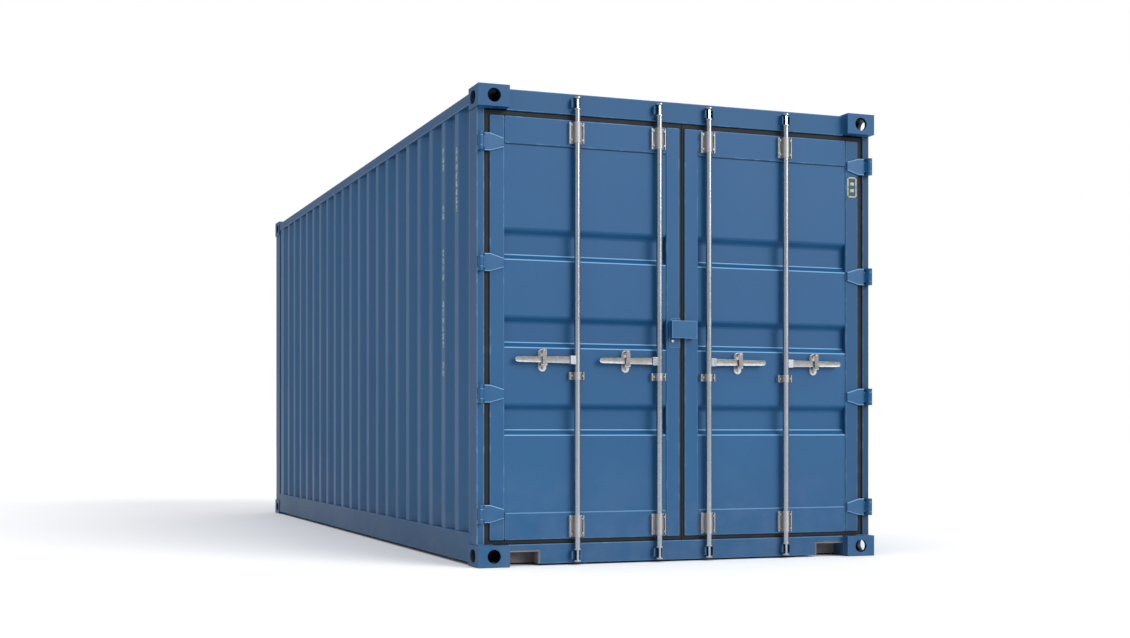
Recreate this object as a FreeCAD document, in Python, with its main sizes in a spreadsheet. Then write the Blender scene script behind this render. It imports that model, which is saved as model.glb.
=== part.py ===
"""Twenty-foot dry freight container, built as its real pieces at real size.

Frame: +X runs along the length to the door end, +Y is the right-hand door's side,
+Z is up, and the origin is at the bottom centre.  All sizes are in millimetres.
"""
import FreeCAD, Part
import Sketcher
import math
import os

doc = FreeCAD.newDocument("Container")
sheet = doc.addObject("Spreadsheet::Sheet", "Sizes")

SIZES = {
    # overall, over the corner fittings
    "length": 6058,
    "width": 2438,
    "height": 2591,
    # corner fittings and their apertures
    "fitting_length": 178,
    "fitting_width": 178,
    "fitting_height": 118,
    "fitting_cap": 28.5,
    "fitting_shell": 22,
    "aperture_pitch_x": 5853,
    "aperture_pitch_y": 2259,
    "aperture_long": 124,
    "aperture_short": 63.5,
    "side_hole_long": 96,
    "side_hole_short": 72,
    "end_hole": 76,
    # frame members
    "side_setback": 6,
    "post_setback": 50,
    "post_face": 43,
    "post_inner_face": 95,
    "front_post_setback": 12,
    "frame_plate": 6,
    "top_rail": 60,
    "top_rail_drop": 20,
    "bottom_rail_low": 17,
    "bottom_rail_high": 158,
    "bottom_rail_flange": 48,
    "bottom_rail_web": 6,
    "header_drop": 125,
    "header_top_drop": 10,
    "header_depth": 65,
    "header_stop": 46,
    "sill_bottom": 9,
    "sill_top": 118,
    "sill_depth": 150,
    "sill_stop": 50,
    "recess_width": 180,
    "recess_top": 76,
    "recess_depth": 110,
    "recess_plate": 8,
    # walls, roof and floor
    "sheet_thickness": 2,
    "side_flat": 72,
    "side_slope": 64,
    "side_inner_flat": 66,
    "side_wave": 36,
    "side_wall_setback": 14,
    "side_wave_count": 21,
    "side_lead": 41,
    "front_flat": 110,
    "front_slope": 18,
    "front_inner_flat": 104,
    "front_wave": 45.6,
    "front_wave_count": 8,
    "front_lead": 112,
    "roof_flat": 91,
    "roof_slope": 13.5,
    "roof_trough": 91,
    "roof_wave": 20,
    "roof_wave_count": 25,
    "roof_lead": 284,
    "roof_plate": 3,
    "floor_thickness": 28,
    "floor_gap": 4,
    "beam_height": 122,
    "beam_width": 45,
    "beam_web": 4.5,
    "beam_count": 18,
    # doors
    "door_setback": 50,
    "door_bottom": 141,
    "door_top_gap": 28,
    "door_edge_gap": 60,
    "door_middle_gap": 15,
    "door_depth": 50,
    "stile_width": 84,
    "rail_width": 150,
    "panel_recess": 6,
    "groove_depth": 34,
    "groove_flat": 110,
    "groove_slope": 28,
    "groove_low": 793,
    "groove_pitch": 476,
    "groove_count": 3,
    "gasket_setback": 12,
    "gasket_depth": 26,
    "gasket_clearance": 1,
    # hinges
    "hinge_inset": 20,
    "hinge_low": 286,
    "hinge_mid_low": 933,
    "hinge_mid_high": 1640,
    "hinge_high_drop": 150,
    "knuckle_radius": 16,
    "knuckle_height": 60,
    "pin_radius": 9,
    "pin_clearance": 0.3,
    "lug_height": 18,
    "lug_clearance": 1,
    "blade_height": 97,
    "blade_tip_height": 50,
    "blade_reach": 139,
    "blade_thickness": 12,
    "blade_neck": 8,
    "blade_heel": 4,
    "blade_root": 6,
    "blade_rise": 1,
    "blade_bend": 10,
    "blade_taper": 24,
    "blade_relief": 5,
    # locking bars
    "bar_inset": 24,
    "bar_stile_gap": 54,
    "bar_outer": 644,
    "bar_radius": 17,
    "bar_bottom": 82,
    "bar_top_rise": 30,
    "collar_step": 5,
    "collar_height": 8,
    "cam_height": 56,
    "cam_width": 12,
    "cam_reach": 19,
    "keeper_thickness": 9,
    "keeper_base": 3,
    "keeper_rise": 2,
    "keeper_gap": 3,
    "keeper_end_gap": 5,
    "bracket_width": 85,
    "bracket_height": 117,
    "bracket_mid_height": 42,
    "bracket_plate": 4,
    "bracket_lip": 20,
    "bracket_top_drop": 72,
    "bracket_mid_z": 1034,
    "bracket_low_z": 211,
    "strap_thickness": 2.2,
    "strap_clearance": 0.3,
    # handles and their catches
    "handle_z": 1121,
    "handle_reach": 361,
    "handle_height": 38,
    "handle_tip_height": 29,
    "handle_tip_flat": 10,
    "handle_thickness": 12,
    "hub_past_pin": 11,
    "hub_height": 46,
    "hub_thickness": 24,
    "tongue_thickness": 6,
    "tongue_height": 26,
    "tongue_bar_gap": 3,
    "handle_pin_radius": 5,
    "tongue_slack": 2,
    "retainer_reach": 195,
    "retainer_width": 47,
    "retainer_height": 123,
    "retainer_z": 1117.5,
    "retainer_plate": 5,
    "ledge_height": 13,
    "ledge_width": 34,
    "ledge_gap": 1,
    "ledge_lip": 3,
    "rivet_radius": 4.5,
    "rivet_rise": 50,
    "catch_width": 24,
    "catch_thickness": 5,
    "catch_gap": 5,
    "catch_drop": 76,
    # lock box
    "lock_left": 82,
    "lock_right": 70,
    "lock_bottom": 1253,
    "lock_height": 98,
    "lock_inset": 5,
    "lock_wall": 4,
    "lock_gap": 6,
    "lock_plate_width": 66,
    "lock_plate_bottom": 1200,
    "lock_plate_height": 167,
    "lock_plate_thickness": 4,
    "lock_plate_corner": 20,
    # how far a cutting piece runs past the face it opens
    "overcut": 1,
}


class Size:
    """A length that carries its number and its spreadsheet formula together."""

    def __init__(self, number, formula):
        self.number = number
        self.formula = formula

    def __add__(self, other):
        other = as_size(other)
        return Size(self.number + other.number, f"({self.formula} + {other.formula})")

    def __radd__(self, other):
        return as_size(other) + self

    def __sub__(self, other):
        other = as_size(other)
        return Size(self.number - other.number, f"({self.formula} - {other.formula})")

    def __rsub__(self, other):
        return as_size(other) - self

    def __mul__(self, other):
        other = as_size(other)
        return Size(self.number * other.number, f"({self.formula} * {other.formula})")

    def __rmul__(self, other):
        return as_size(other) * self

    def __truediv__(self, other):
        other = as_size(other)
        return Size(self.number / other.number, f"({self.formula} / {other.formula})")

    def __neg__(self):
        return Size(-self.number, f"(0 - {self.formula})")


def as_size(value):
    """A plain number as a Size; a Size as it is."""
    if isinstance(value, Size):
        return value
    return Size(value, f"({value})")


def fill_sheet():
    """Write each driving dimension to its own cell and return them as Sizes."""
    for row, (alias, value) in enumerate(SIZES.items(), start=1):
        sheet.set(f"A{row}", alias)
        sheet.set(f"B{row}", str(value))
        sheet.setAlias(f"B{row}", alias)
    doc.recompute()
    return {alias: Size(sheet.get(alias), f"Sizes.{alias}") for alias in SIZES}


size = fill_sheet()


# ---------------------------------------------------------------- modelling tools

def bind(thing, prop, value):
    """Drive one property of an object by a Size."""
    thing.setExpression(prop, as_size(value).formula)


def place(thing, x, y, z):
    """Drive an object's position."""
    bind(thing, "Placement.Base.x", x)
    bind(thing, "Placement.Base.y", y)
    bind(thing, "Placement.Base.z", z)


def box(name, x_low, x_high, y_low, y_high, z_low, z_high):
    """A box between six planes."""
    solid = doc.addObject("Part::Box", name)
    bind(solid, "Length", as_size(x_high) - x_low)
    bind(solid, "Width", as_size(y_high) - y_low)
    bind(solid, "Height", as_size(z_high) - z_low)
    place(solid, x_low, y_low, z_low)
    return solid


def cylinder(name, radius, height, x, y, z, axis="z"):
    """A cylinder that starts at a point and runs up, or along +X or +Y."""
    solid = doc.addObject("Part::Cylinder", name)
    bind(solid, "Radius", radius)
    bind(solid, "Height", height)
    turns = {
        "z": FreeCAD.Rotation(),
        "x": FreeCAD.Rotation(FreeCAD.Vector(0, 1, 0), 90),
        "y": FreeCAD.Rotation(FreeCAD.Vector(1, 0, 0), -90),
    }
    solid.Placement = FreeCAD.Placement(FreeCAD.Vector(), turns[axis])
    place(solid, x, y, z)
    return solid


def fuse(name, solids):
    """One solid from pieces that meet."""
    joined = doc.addObject("Part::MultiFuse", name)
    joined.Shapes = solids
    joined.Refine = True
    return joined


def cut(name, base, tool):
    """The base with the tool taken out."""
    result = doc.addObject("Part::Cut", name)
    result.Base = base
    result.Tool = tool
    result.Refine = True
    return result


def group(name, solids):
    """Like pieces on one body, kept as separate solids in one node."""
    together = doc.addObject("Part::Compound", name)
    together.Links = solids
    return together


def origin_plane(body, role):
    """One of a body's own origin planes."""
    return next(part for part in body.Origin.OriginFeatures if part.Role == role)


def outline(body, name, role, points, offset=0):
    """A closed sketch whose corners are each held by two driven distances."""
    sketch = body.newObject("Sketcher::SketchObject", name)
    sketch.AttachmentSupport = [(origin_plane(body, role), "")]
    sketch.MapMode = "FlatFace"
    bind(sketch, "AttachmentOffset.Base.z", offset)
    spots = [(as_size(u), as_size(v)) for u, v in points]
    total = len(spots)
    for index in range(total):
        u, v = spots[index]
        next_u, next_v = spots[(index + 1) % total]
        start = FreeCAD.Vector(u.number, v.number, 0)
        end = FreeCAD.Vector(next_u.number, next_v.number, 0)
        sketch.addGeometry(Part.LineSegment(start, end), False)
    for index in range(total):
        sketch.addConstraint(Sketcher.Constraint("Coincident", index, 2, (index + 1) % total, 1))
    for index, (u, v) in enumerate(spots):
        across = sketch.addConstraint(Sketcher.Constraint("DistanceX", -1, 1, index, 1, u.number))
        sketch.setExpression(f"Constraints[{across}]", u.formula)
        along = sketch.addConstraint(Sketcher.Constraint("DistanceY", -1, 1, index, 1, v.number))
        sketch.setExpression(f"Constraints[{along}]", v.formula)
    return sketch


def pad(body, sketch, length, reverse=False):
    """Thicken a sketch."""
    feature = body.newObject("PartDesign::Pad", f"{sketch.Name}_pad")
    feature.Profile = sketch
    feature.Reversed = reverse
    bind(feature, "Length", length)
    body.Tip = feature
    return feature


def profile(name, role, points, length, x=0, y=0, z=0, reverse=False):
    """A body made by thickening one outline, standing at a driven place."""
    body = doc.addObject("PartDesign::Body", name)
    sketch = outline(body, f"{name}_outline", role, points)
    pad(body, sketch, length, reverse)
    place(body, x, y, z)
    return body


def mirror_y(name, source):
    """The same piece on the other side of the lengthwise middle plane."""
    copy = doc.addObject("Part::Mirroring", name)
    copy.Source = source
    copy.Normal = (0, 1, 0)
    return copy


# ---------------------------------------------------------------- shared planes

rear = size["length"] / 2
front = -rear
side = size["width"] / 2
frame_side = side - size["side_setback"]
door_face = rear - size["door_setback"]
door_back = door_face - size["door_depth"]
hinge_x = rear - size["hinge_inset"]
hinge_y = side - size["hinge_inset"]
door_outer = hinge_y - size["door_edge_gap"]
door_inner = size["door_middle_gap"]
post_face_x = rear - size["post_setback"]
post_inner_y = frame_side - size["post_face"]
panel_face = door_face - size["panel_recess"]
fitting_x = rear - size["fitting_length"]
fitting_y = side - size["fitting_width"]
over = size["overcut"]
bar_x = rear - size["bar_inset"]
stop_x = post_face_x - size["header_depth"]
top_rail_top = size["height"] - size["top_rail_drop"]
top_rail_bottom = top_rail_top - size["top_rail"]
bottom_rail_top = size["bottom_rail_low"] + size["bottom_rail_high"]
beam_top = size["bottom_rail_low"] + size["beam_height"]
floor_top = beam_top + size["floor_thickness"]
fitting_top = size["height"] - size["fitting_height"]
sill_front = post_face_x - size["sill_depth"]
header_bottom = size["height"] - size["header_drop"]
header_top = size["height"] - size["header_top_drop"]
door_bottom = size["door_bottom"]
door_top = header_bottom - size["door_top_gap"]
bar_top = header_bottom + size["bar_top_rise"]
collar_radius = size["bar_radius"] + size["collar_step"]
strap_radius = size["bar_radius"] + size["strap_clearance"] + size["strap_thickness"]
handle_pin_reach = size["bar_radius"] + size["tongue_bar_gap"] + size["tongue_height"] / 2
hub_reach = handle_pin_reach + size["hub_past_pin"]
BARS = {
    "bar_inner": door_inner + size["stile_width"] + size["bar_stile_gap"],
    "bar_outer": size["bar_outer"],
}
HINGES = {
    "hinge_low": size["hinge_low"],
    "hinge_mid_low": size["hinge_mid_low"],
    "hinge_mid_high": size["hinge_mid_high"],
    "hinge_high": door_top - size["hinge_high_drop"],
}
BRACKETS = [
    ("low", size["bracket_low_z"], size["bracket_height"]),
    ("mid", size["bracket_mid_z"], size["bracket_mid_height"]),
    ("top", door_top - size["bracket_top_drop"], size["bracket_height"]),
]


# ---------------------------------------------------------------- corner fittings

def slot(name, width, height, depth, x, y, z, axis):
    """A round-ended aperture whose long way lies along X, sunk along Z or Y."""
    radius = height / 2
    shift = (width - height) / 2
    if axis == "z":
        middle = box(f"{name}_middle", x - shift, x + shift, y - radius, y + radius, z, z + depth)
    else:
        middle = box(f"{name}_middle", x - shift, x + shift, y, y + depth, z - radius, z + radius)
    ends = [
        cylinder(f"{name}_end_low", radius, depth, x - shift, y, z, axis),
        cylinder(f"{name}_end_high", radius, depth, x + shift, y, z, axis),
    ]
    return fuse(name, [middle] + ends)


def corner_fitting(name, x_sign, y_sign, top):
    """A hollow casting with one aperture each in its cap, side and end faces."""
    shell = size["fitting_shell"]
    x_outer = x_sign * rear
    x_inner = x_sign * (rear - size["fitting_length"])
    y_outer = y_sign * side
    y_inner = y_sign * (side - size["fitting_width"])
    x_low, x_high = (x_inner, x_outer) if x_sign > 0 else (x_outer, x_inner)
    y_low, y_high = (y_inner, y_outer) if y_sign > 0 else (y_outer, y_inner)
    z_low = fitting_top if top else as_size(0)
    z_high = z_low + size["fitting_height"]
    block = box(f"{name}_block", x_low, x_high, y_low, y_high, z_low, z_high)
    low_wall = shell if top else size["fitting_cap"]
    high_wall = size["fitting_cap"] if top else shell
    hollow = box(
        f"{name}_hollow", x_low + shell, x_high - shell, y_low + shell, y_high - shell,
        z_low + low_wall, z_high - high_wall,
    )
    middle_x = x_sign * size["aperture_pitch_x"] / 2
    middle_y = y_sign * size["aperture_pitch_y"] / 2
    middle_z = (z_low + z_high) / 2
    cap_z = z_high - size["fitting_cap"] - over if top else z_low - over
    cap = slot(
        f"{name}_cap", size["aperture_long"], size["aperture_short"], size["fitting_cap"] + 2 * over,
        middle_x, middle_y, cap_z, "z",
    )
    side_y = y_high - shell - over if y_sign > 0 else y_low - over
    side_hole = slot(
        f"{name}_side", size["side_hole_long"], size["side_hole_short"], shell + 2 * over,
        middle_x, side_y, middle_z, "y",
    )
    end_x = x_high - shell - over if x_sign > 0 else x_low - over
    end_hole = cylinder(
        f"{name}_endhole", size["end_hole"] / 2, shell + 2 * over, end_x, middle_y, middle_z, "x",
    )
    tools = fuse(f"{name}_holes", [hollow, cap, side_hole, end_hole])
    return cut(name, block, tools)


def corner_fittings(name, top):
    """The four fittings of one level."""
    corners = []
    for x_word, x_sign in (("rear", 1), ("front", -1)):
        for y_word, y_sign in (("left", -1), ("right", 1)):
            corners.append(corner_fitting(f"{name}_{x_word}_{y_word}", x_sign, y_sign, top))
    return group(name, corners)


# ---------------------------------------------------------------- posts and rails

def rear_corner_posts():
    """Outer section facing the doors and an inner section that stops them."""
    stop_y = frame_side - size["post_inner_face"]
    points = [
        (post_face_x, frame_side),
        (fitting_x, frame_side),
        (fitting_x, stop_y),
        (stop_x, stop_y),
        (stop_x, post_inner_y),
        (post_face_x, post_inner_y),
    ]
    height = fitting_top - size["fitting_height"]
    right = profile("rear_post_right", "XY_Plane", points, height, z=size["fitting_height"])
    return group("rear_corner_posts", [right, mirror_y("rear_post_left", right)])


def front_corner_posts():
    """Angled section that takes the front and side walls."""
    plate = size["frame_plate"]
    outer_x = front + size["front_post_setback"]
    points = [
        (outer_x, frame_side),
        (outer_x, fitting_y),
        (outer_x + plate, fitting_y),
        (outer_x + plate, frame_side - plate),
        (-fitting_x, frame_side - plate),
        (-fitting_x, frame_side),
    ]
    height = fitting_top - size["fitting_height"]
    right = profile("front_post_right", "XY_Plane", points, height, z=size["fitting_height"])
    return group("front_corner_posts", [right, mirror_y("front_post_left", right)])


def top_side_rails():
    """Square tube between the top fittings, closed by them."""
    right = box(
        "top_rail_right", -fitting_x, fitting_x, frame_side - size["top_rail"], frame_side,
        top_rail_bottom, top_rail_top,
    )
    return group("top_side_rails", [right, mirror_y("top_rail_left", right)])


def bottom_side_rails():
    """Channel with its web outward."""
    web = size["bottom_rail_web"]
    points = [
        (frame_side, size["bottom_rail_low"]),
        (frame_side, bottom_rail_top),
        (frame_side - size["bottom_rail_flange"], bottom_rail_top),
        (frame_side - size["bottom_rail_flange"], bottom_rail_top - web),
        (frame_side - web, bottom_rail_top - web),
        (frame_side - web, size["bottom_rail_low"] + web),
        (frame_side - size["bottom_rail_flange"], size["bottom_rail_low"] + web),
        (frame_side - size["bottom_rail_flange"], size["bottom_rail_low"]),
    ]
    right = profile("bottom_rail_right", "YZ_Plane", points, 2 * fitting_x, x=-fitting_x)
    return group("bottom_side_rails", [right, mirror_y("bottom_rail_left", right)])


def front_rails():
    """Cross members that tie the front fittings."""
    outer_x = front + size["front_post_setback"]
    top = box(
        "front_top_rail", outer_x, outer_x + size["top_rail"], -fitting_y, fitting_y,
        top_rail_bottom, top_rail_top,
    )
    bottom = box(
        "front_bottom_rail", outer_x, outer_x + size["top_rail"], -fitting_y, fitting_y,
        size["bottom_rail_low"], beam_top,
    )
    return [top, bottom]


def door_header():
    """Rear top cross member, with a lip that the closed doors stop against."""
    stop_z = header_bottom - size["header_stop"]
    points = [
        (post_face_x, header_bottom),
        (post_face_x, header_top),
        (fitting_x, header_top),
        (fitting_x, stop_z),
        (stop_x, stop_z),
        (stop_x, header_bottom),
    ]
    return xz_bar("door_header", points, fitting_y)


def xz_bar(name, points, reach):
    """An outline in X and Z, run across the width from -reach to +reach."""
    return profile(name, "XZ_Plane", points, 2 * reach, y=-reach, reverse=True)


def door_sill():
    """Rear bottom cross member, notched beside each fitting for a lifting recess."""
    stop_z = size["sill_top"] + size["sill_stop"]
    points = [
        (post_face_x, size["sill_bottom"]),
        (post_face_x, size["sill_top"]),
        (stop_x, size["sill_top"]),
        (stop_x, stop_z),
        (sill_front, stop_z),
        (sill_front, size["sill_bottom"]),
    ]
    beam = xz_bar("sill_beam", points, fitting_y)
    notch = box(
        "sill_notch_right", post_face_x - size["recess_depth"] - size["recess_plate"],
        post_face_x + over, fitting_y - size["recess_width"] - size["recess_plate"],
        fitting_y + over, size["sill_bottom"] - over, size["recess_top"] + size["recess_plate"],
    )
    notches = fuse("sill_notches", [notch, mirror_y("sill_notch_left", notch)])
    return cut("door_sill", beam, notches)


def sill_recesses():
    """Bent steel linings of the two lifting recesses."""
    plate = size["recess_plate"]
    back_x = post_face_x - size["recess_depth"] - plate
    shell = box(
        "recess_shell", back_x, post_face_x, fitting_y - size["recess_width"] - plate, fitting_y,
        size["sill_bottom"], size["recess_top"] + plate,
    )
    hollow = box(
        "recess_hollow", back_x + plate, post_face_x + over, fitting_y - size["recess_width"],
        fitting_y + over, size["sill_bottom"] - over, size["recess_top"],
    )
    right = cut("recess_right", shell, hollow)
    return group("sill_recess_linings", [right, mirror_y("recess_left", right)])


# ---------------------------------------------------------------- sheet walls

def wave_points(base_flat, wave_flat, slope, depth, count, lead, span):
    """A corrugated sheet's section: u runs along the sheet, w into it from its outer face.

    The sheet starts on its outer level, and the first step inward is a lead from its start.
    """
    thickness = sheet.get("sheet_thickness")
    pitch = base_flat + wave_flat + 2 * slope
    outer = [(0, 0)]
    for index in range(count):
        at = lead + index * pitch
        outer += [
            (at, 0),
            (at + slope, depth),
            (at + slope + wave_flat, depth),
            (at + 2 * slope + wave_flat, 0),
        ]
    outer.append((span, 0))
    # offsetting a bend by the sheet's thickness moves its corner along the sheet
    shift = thickness * math.tan(math.atan2(depth, slope) / 2)
    moves = [-shift, -shift, shift, shift] * count
    inner = [(u + move, w + thickness) for (u, w), move in zip(outer[1:-1], moves)]
    return outer + [(span, thickness)] + inner[::-1] + [(0, thickness)]


def sheet_solid(name, corners, run, corner_spot):
    """A solid from a section's corners and a straight run, stood at its corner's spot."""
    face = Part.Face(Part.makePolygon(corners + [corners[0]]))
    feature = doc.addObject("Part::Feature", name)
    feature.Shape = face.extrude(run)
    feature.Placement = FreeCAD.Placement(FreeCAD.Vector(*corner_spot), FreeCAD.Rotation())
    return feature


def side_walls():
    """Both long walls, waves upright, read from the rear posts forward."""
    points = wave_points(
        sheet.get("side_flat"), sheet.get("side_inner_flat"), sheet.get("side_slope"),
        sheet.get("side_wave"), int(sheet.get("side_wave_count")), sheet.get("side_lead"),
        2 * fitting_x.number,
    )
    outer_y = side.number - sheet.get("side_wall_setback")
    z_low = bottom_rail_top.number
    run = FreeCAD.Vector(0, 0, top_rail_bottom.number - z_low)
    walls = []
    for name, sign in (("left_side_wall", -1), ("right_side_wall", 1)):
        corners = [FreeCAD.Vector(-u, -sign * w, 0) for u, w in points]
        walls.append(sheet_solid(name, corners, run, (fitting_x.number, sign * outer_y, z_low)))
    return walls


def front_wall():
    """The closed end, waves upright, from the front beam to the front top rail."""
    points = wave_points(
        sheet.get("front_flat"), sheet.get("front_inner_flat"), sheet.get("front_slope"),
        sheet.get("front_wave"), int(sheet.get("front_wave_count")), sheet.get("front_lead"),
        2 * fitting_y.number,
    )
    outer_x = front.number + sheet.get("front_post_setback")
    z_low = beam_top.number
    run = FreeCAD.Vector(0, 0, top_rail_bottom.number - z_low)
    corners = [FreeCAD.Vector(w, u, 0) for u, w in points]
    return sheet_solid("front_wall", corners, run, (outer_x, -fitting_y.number, z_low))


def roof_panel():
    """Stamped roof sheets with troughs that run across, on the top side rails."""
    points = wave_points(
        sheet.get("roof_flat"), sheet.get("roof_trough"), sheet.get("roof_slope"),
        sheet.get("roof_wave"), int(sheet.get("roof_wave_count")), sheet.get("roof_lead"),
        2 * fitting_x.number,
    )
    reach = frame_side.number - sheet.get("top_rail")
    run = FreeCAD.Vector(0, 2 * reach, 0)
    corners = [FreeCAD.Vector(u, 0, -w) for u, w in points]
    return sheet_solid(
        "roof_panel", corners, run, (-fitting_x.number, -reach, top_rail_top.number),
    )


def roof_end_plates():
    """Flat plate between the front top rail and the roof sheets, held by the fittings."""
    return box(
        "roof_front_plate", front + size["front_post_setback"] + size["top_rail"], -fitting_x,
        -fitting_y, fitting_y, top_rail_top - size["roof_plate"], top_rail_top,
    )


# ---------------------------------------------------------------- floor

def plywood_floor():
    """Boards between the bottom rails, on the cross members."""
    reach = frame_side - size["bottom_rail_flange"] - size["floor_gap"]
    return box(
        "plywood_floor", front + size["front_post_setback"] + size["top_rail"], sill_front,
        -reach, reach, beam_top, floor_top,
    )


def floor_cross_members():
    """Channels that carry the floor from side rail to side rail."""
    reach = frame_side - size["bottom_rail_web"]
    web = size["beam_web"]
    low = size["bottom_rail_low"] + size["bottom_rail_web"]
    x_start = front + size["front_post_setback"] + size["top_rail"]
    pitch = (sill_front - x_start) / (size["beam_count"] + 1)
    points = [
        (0, low),
        (size["beam_width"], low),
        (size["beam_width"], low + web),
        (web, low + web),
        (web, beam_top - web),
        (size["beam_width"], beam_top - web),
        (size["beam_width"], beam_top),
        (0, beam_top),
    ]
    beams = []
    for index in range(1, int(sheet.get("beam_count")) + 1):
        beam = profile(
            f"floor_beam_{index}", "XZ_Plane", points, 2 * reach, x=x_start + index * pitch,
            y=-reach, reverse=True,
        )
        beams.append(beam)
    return group("floor_cross_members", beams)


# ---------------------------------------------------------------- hinges

def hinge_lugs():
    """Two lugs and a pin for each hinge, on the rear posts."""
    knuckle = size["knuckle_height"]
    gap = size["lug_clearance"]
    lug = size["lug_height"]
    hinges = []
    for alias, middle in HINGES.items():
        pieces = [
            cylinder(
                f"{alias}_pin", size["pin_radius"], knuckle + 2 * gap + 2 * lug,
                hinge_x, hinge_y, middle - knuckle / 2 - gap - lug,
            )
        ]
        for word, low in (
            ("lower", middle - knuckle / 2 - gap - lug),
            ("upper", middle + knuckle / 2 + gap),
        ):
            pieces.append(
                cylinder(f"{alias}_{word}_eye", size["knuckle_radius"], lug, hinge_x, hinge_y, low)
            )
            pieces.append(
                box(
                    f"{alias}_{word}_lug", post_face_x, hinge_x,
                    hinge_y - size["knuckle_radius"], frame_side, low, low + lug,
                )
            )
        hinges.append(fuse(f"{alias}_lugs_right", pieces))
    copies = [mirror_y(f"{piece.Name[:-6]}_left", piece) for piece in hinges]
    return group("hinge_lugs", hinges + copies)


def hinge_blades():
    """Tapered forged blades with an eye round the pin, for the right door."""
    radius = size["knuckle_radius"]
    bore = size["pin_radius"] + size["pin_clearance"]
    knuckle = size["knuckle_height"]
    rise = size["blade_height"] / 2
    tip_rise = size["blade_tip_height"] / 2
    plate_x = size["door_setback"] - size["hinge_inset"]
    front_x = plate_x - size["blade_thickness"]
    back_x = plate_x - size["blade_relief"]
    arm = [
        (size["blade_rise"] - front_x, radius + size["blade_root"]),
        (size["blade_rise"] - front_x, size["door_edge_gap"]),
        (-front_x, size["door_edge_gap"] + size["blade_bend"]),
        (-front_x, size["blade_reach"]),
        (-plate_x, size["blade_reach"]),
        (-plate_x, size["door_edge_gap"] - over),
        (-back_x, size["door_edge_gap"] - size["blade_taper"]),
        (-back_x, -size["blade_heel"]),
        (-radius, -size["blade_root"]),
        (-size["blade_rise"], radius),
    ]
    points = [(hinge_x + x, hinge_y - y) for x, y in arm]
    blades = []
    for alias, middle in HINGES.items():
        blank = profile(f"{alias}_blank", "XY_Plane", points, 2 * rise, z=middle - rise)
        shape = [
            (hinge_y - size["blade_reach"], middle - tip_rise),
            (hinge_y - size["door_edge_gap"], middle - rise),
            (hinge_y - radius - size["blade_neck"], middle - rise),
            (hinge_y - radius - size["blade_neck"], middle - knuckle / 2),
            (hinge_y + radius, middle - knuckle / 2),
            (hinge_y + radius, middle + knuckle / 2),
            (hinge_y - radius - size["blade_neck"], middle + knuckle / 2),
            (hinge_y - radius - size["blade_neck"], middle + rise),
            (hinge_y - size["door_edge_gap"], middle + rise),
            (hinge_y - size["blade_reach"], middle + tip_rise),
        ]
        mask = profile(
            f"{alias}_mask", "YZ_Plane", shape, 2 * size["door_setback"],
            x=hinge_x - size["door_setback"],
        )
        blade = doc.addObject("Part::MultiCommon", f"{alias}_arm")
        blade.Shapes = [blank, mask]
        eye = cylinder(f"{alias}_eye", radius, knuckle, hinge_x, hinge_y, middle - knuckle / 2)
        solid = fuse(f"{alias}_blade_solid", [blade, eye])
        hole = cylinder(
            f"{alias}_bore", bore, knuckle + 2 * over, hinge_x, hinge_y,
            middle - knuckle / 2 - over,
        )
        blades.append(cut(f"{alias}_blade", solid, hole))
    return group("right_hinge_blades", blades)


# ---------------------------------------------------------------- doors

def door_stiles():
    """The two upright tubes of the right door."""
    outer = box(
        "outer_stile", door_back, door_face, door_outer - size["stile_width"], door_outer,
        door_bottom, door_top,
    )
    inner = box(
        "inner_stile", door_back, door_face, door_inner, door_inner + size["stile_width"],
        door_bottom, door_top,
    )
    return group("right_door_stiles", [outer, inner])


def door_rails():
    """The top and bottom channels of the right door, between its stiles."""
    y_low = door_inner + size["stile_width"]
    y_high = door_outer - size["stile_width"]
    bottom = box(
        "bottom_rail_of_door", door_back, door_face, y_low, y_high,
        door_bottom, door_bottom + size["rail_width"],
    )
    top = box(
        "top_rail_of_door", door_back, door_face, y_low, y_high,
        door_top - size["rail_width"], door_top,
    )
    return group("right_door_rails", [bottom, top])


def door_panel():
    """The right door's sheet, pressed with three level grooves."""
    outer_x = door_face - size["panel_recess"]
    deep_x = outer_x - size["groove_depth"]
    thick = size["sheet_thickness"]
    z_low = door_bottom + size["rail_width"]
    z_high = door_top - size["rail_width"]
    half = size["groove_flat"] / 2
    slope = size["groove_slope"]
    steepness = math.atan2(sheet.get("groove_depth"), sheet.get("groove_slope"))
    shift = thick * math.tan(steepness / 2)
    outside = [(outer_x, z_low)]
    inside = [(outer_x - thick, z_low)]
    for index in range(int(sheet.get("groove_count"))):
        middle = size["groove_low"] + index * size["groove_pitch"]
        outside += [
            (outer_x, middle - half - slope),
            (deep_x, middle - half),
            (deep_x, middle + half),
            (outer_x, middle + half + slope),
        ]
        inside += [
            (outer_x - thick, middle - half - slope - shift),
            (deep_x - thick, middle - half - shift),
            (deep_x - thick, middle + half + shift),
            (outer_x - thick, middle + half + slope + shift),
        ]
    outside.append((outer_x, z_high))
    inside.append((outer_x - thick, z_high))
    y_low = door_inner + size["stile_width"]
    width = door_outer - size["stile_width"] - y_low
    return profile(
        "right_door_panel", "XZ_Plane", outside + inside[::-1], width, y=y_low, reverse=True,
    )


def door_gasket():
    """Rubber frame that fills the gap round the right door."""
    gap = size["gasket_clearance"]
    x_high = door_face - size["gasket_setback"]
    x_low = x_high - size["gasket_depth"]
    outer = box(
        "gasket_block", x_low, x_high, gap / 2, post_inner_y - gap,
        size["fitting_height"] + gap, header_bottom - gap,
    )
    inner = box(
        "gasket_hole", x_low - over, x_high + over, door_inner, door_outer,
        door_bottom, door_top,
    )
    return cut("right_door_gasket", outer, inner)


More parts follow.
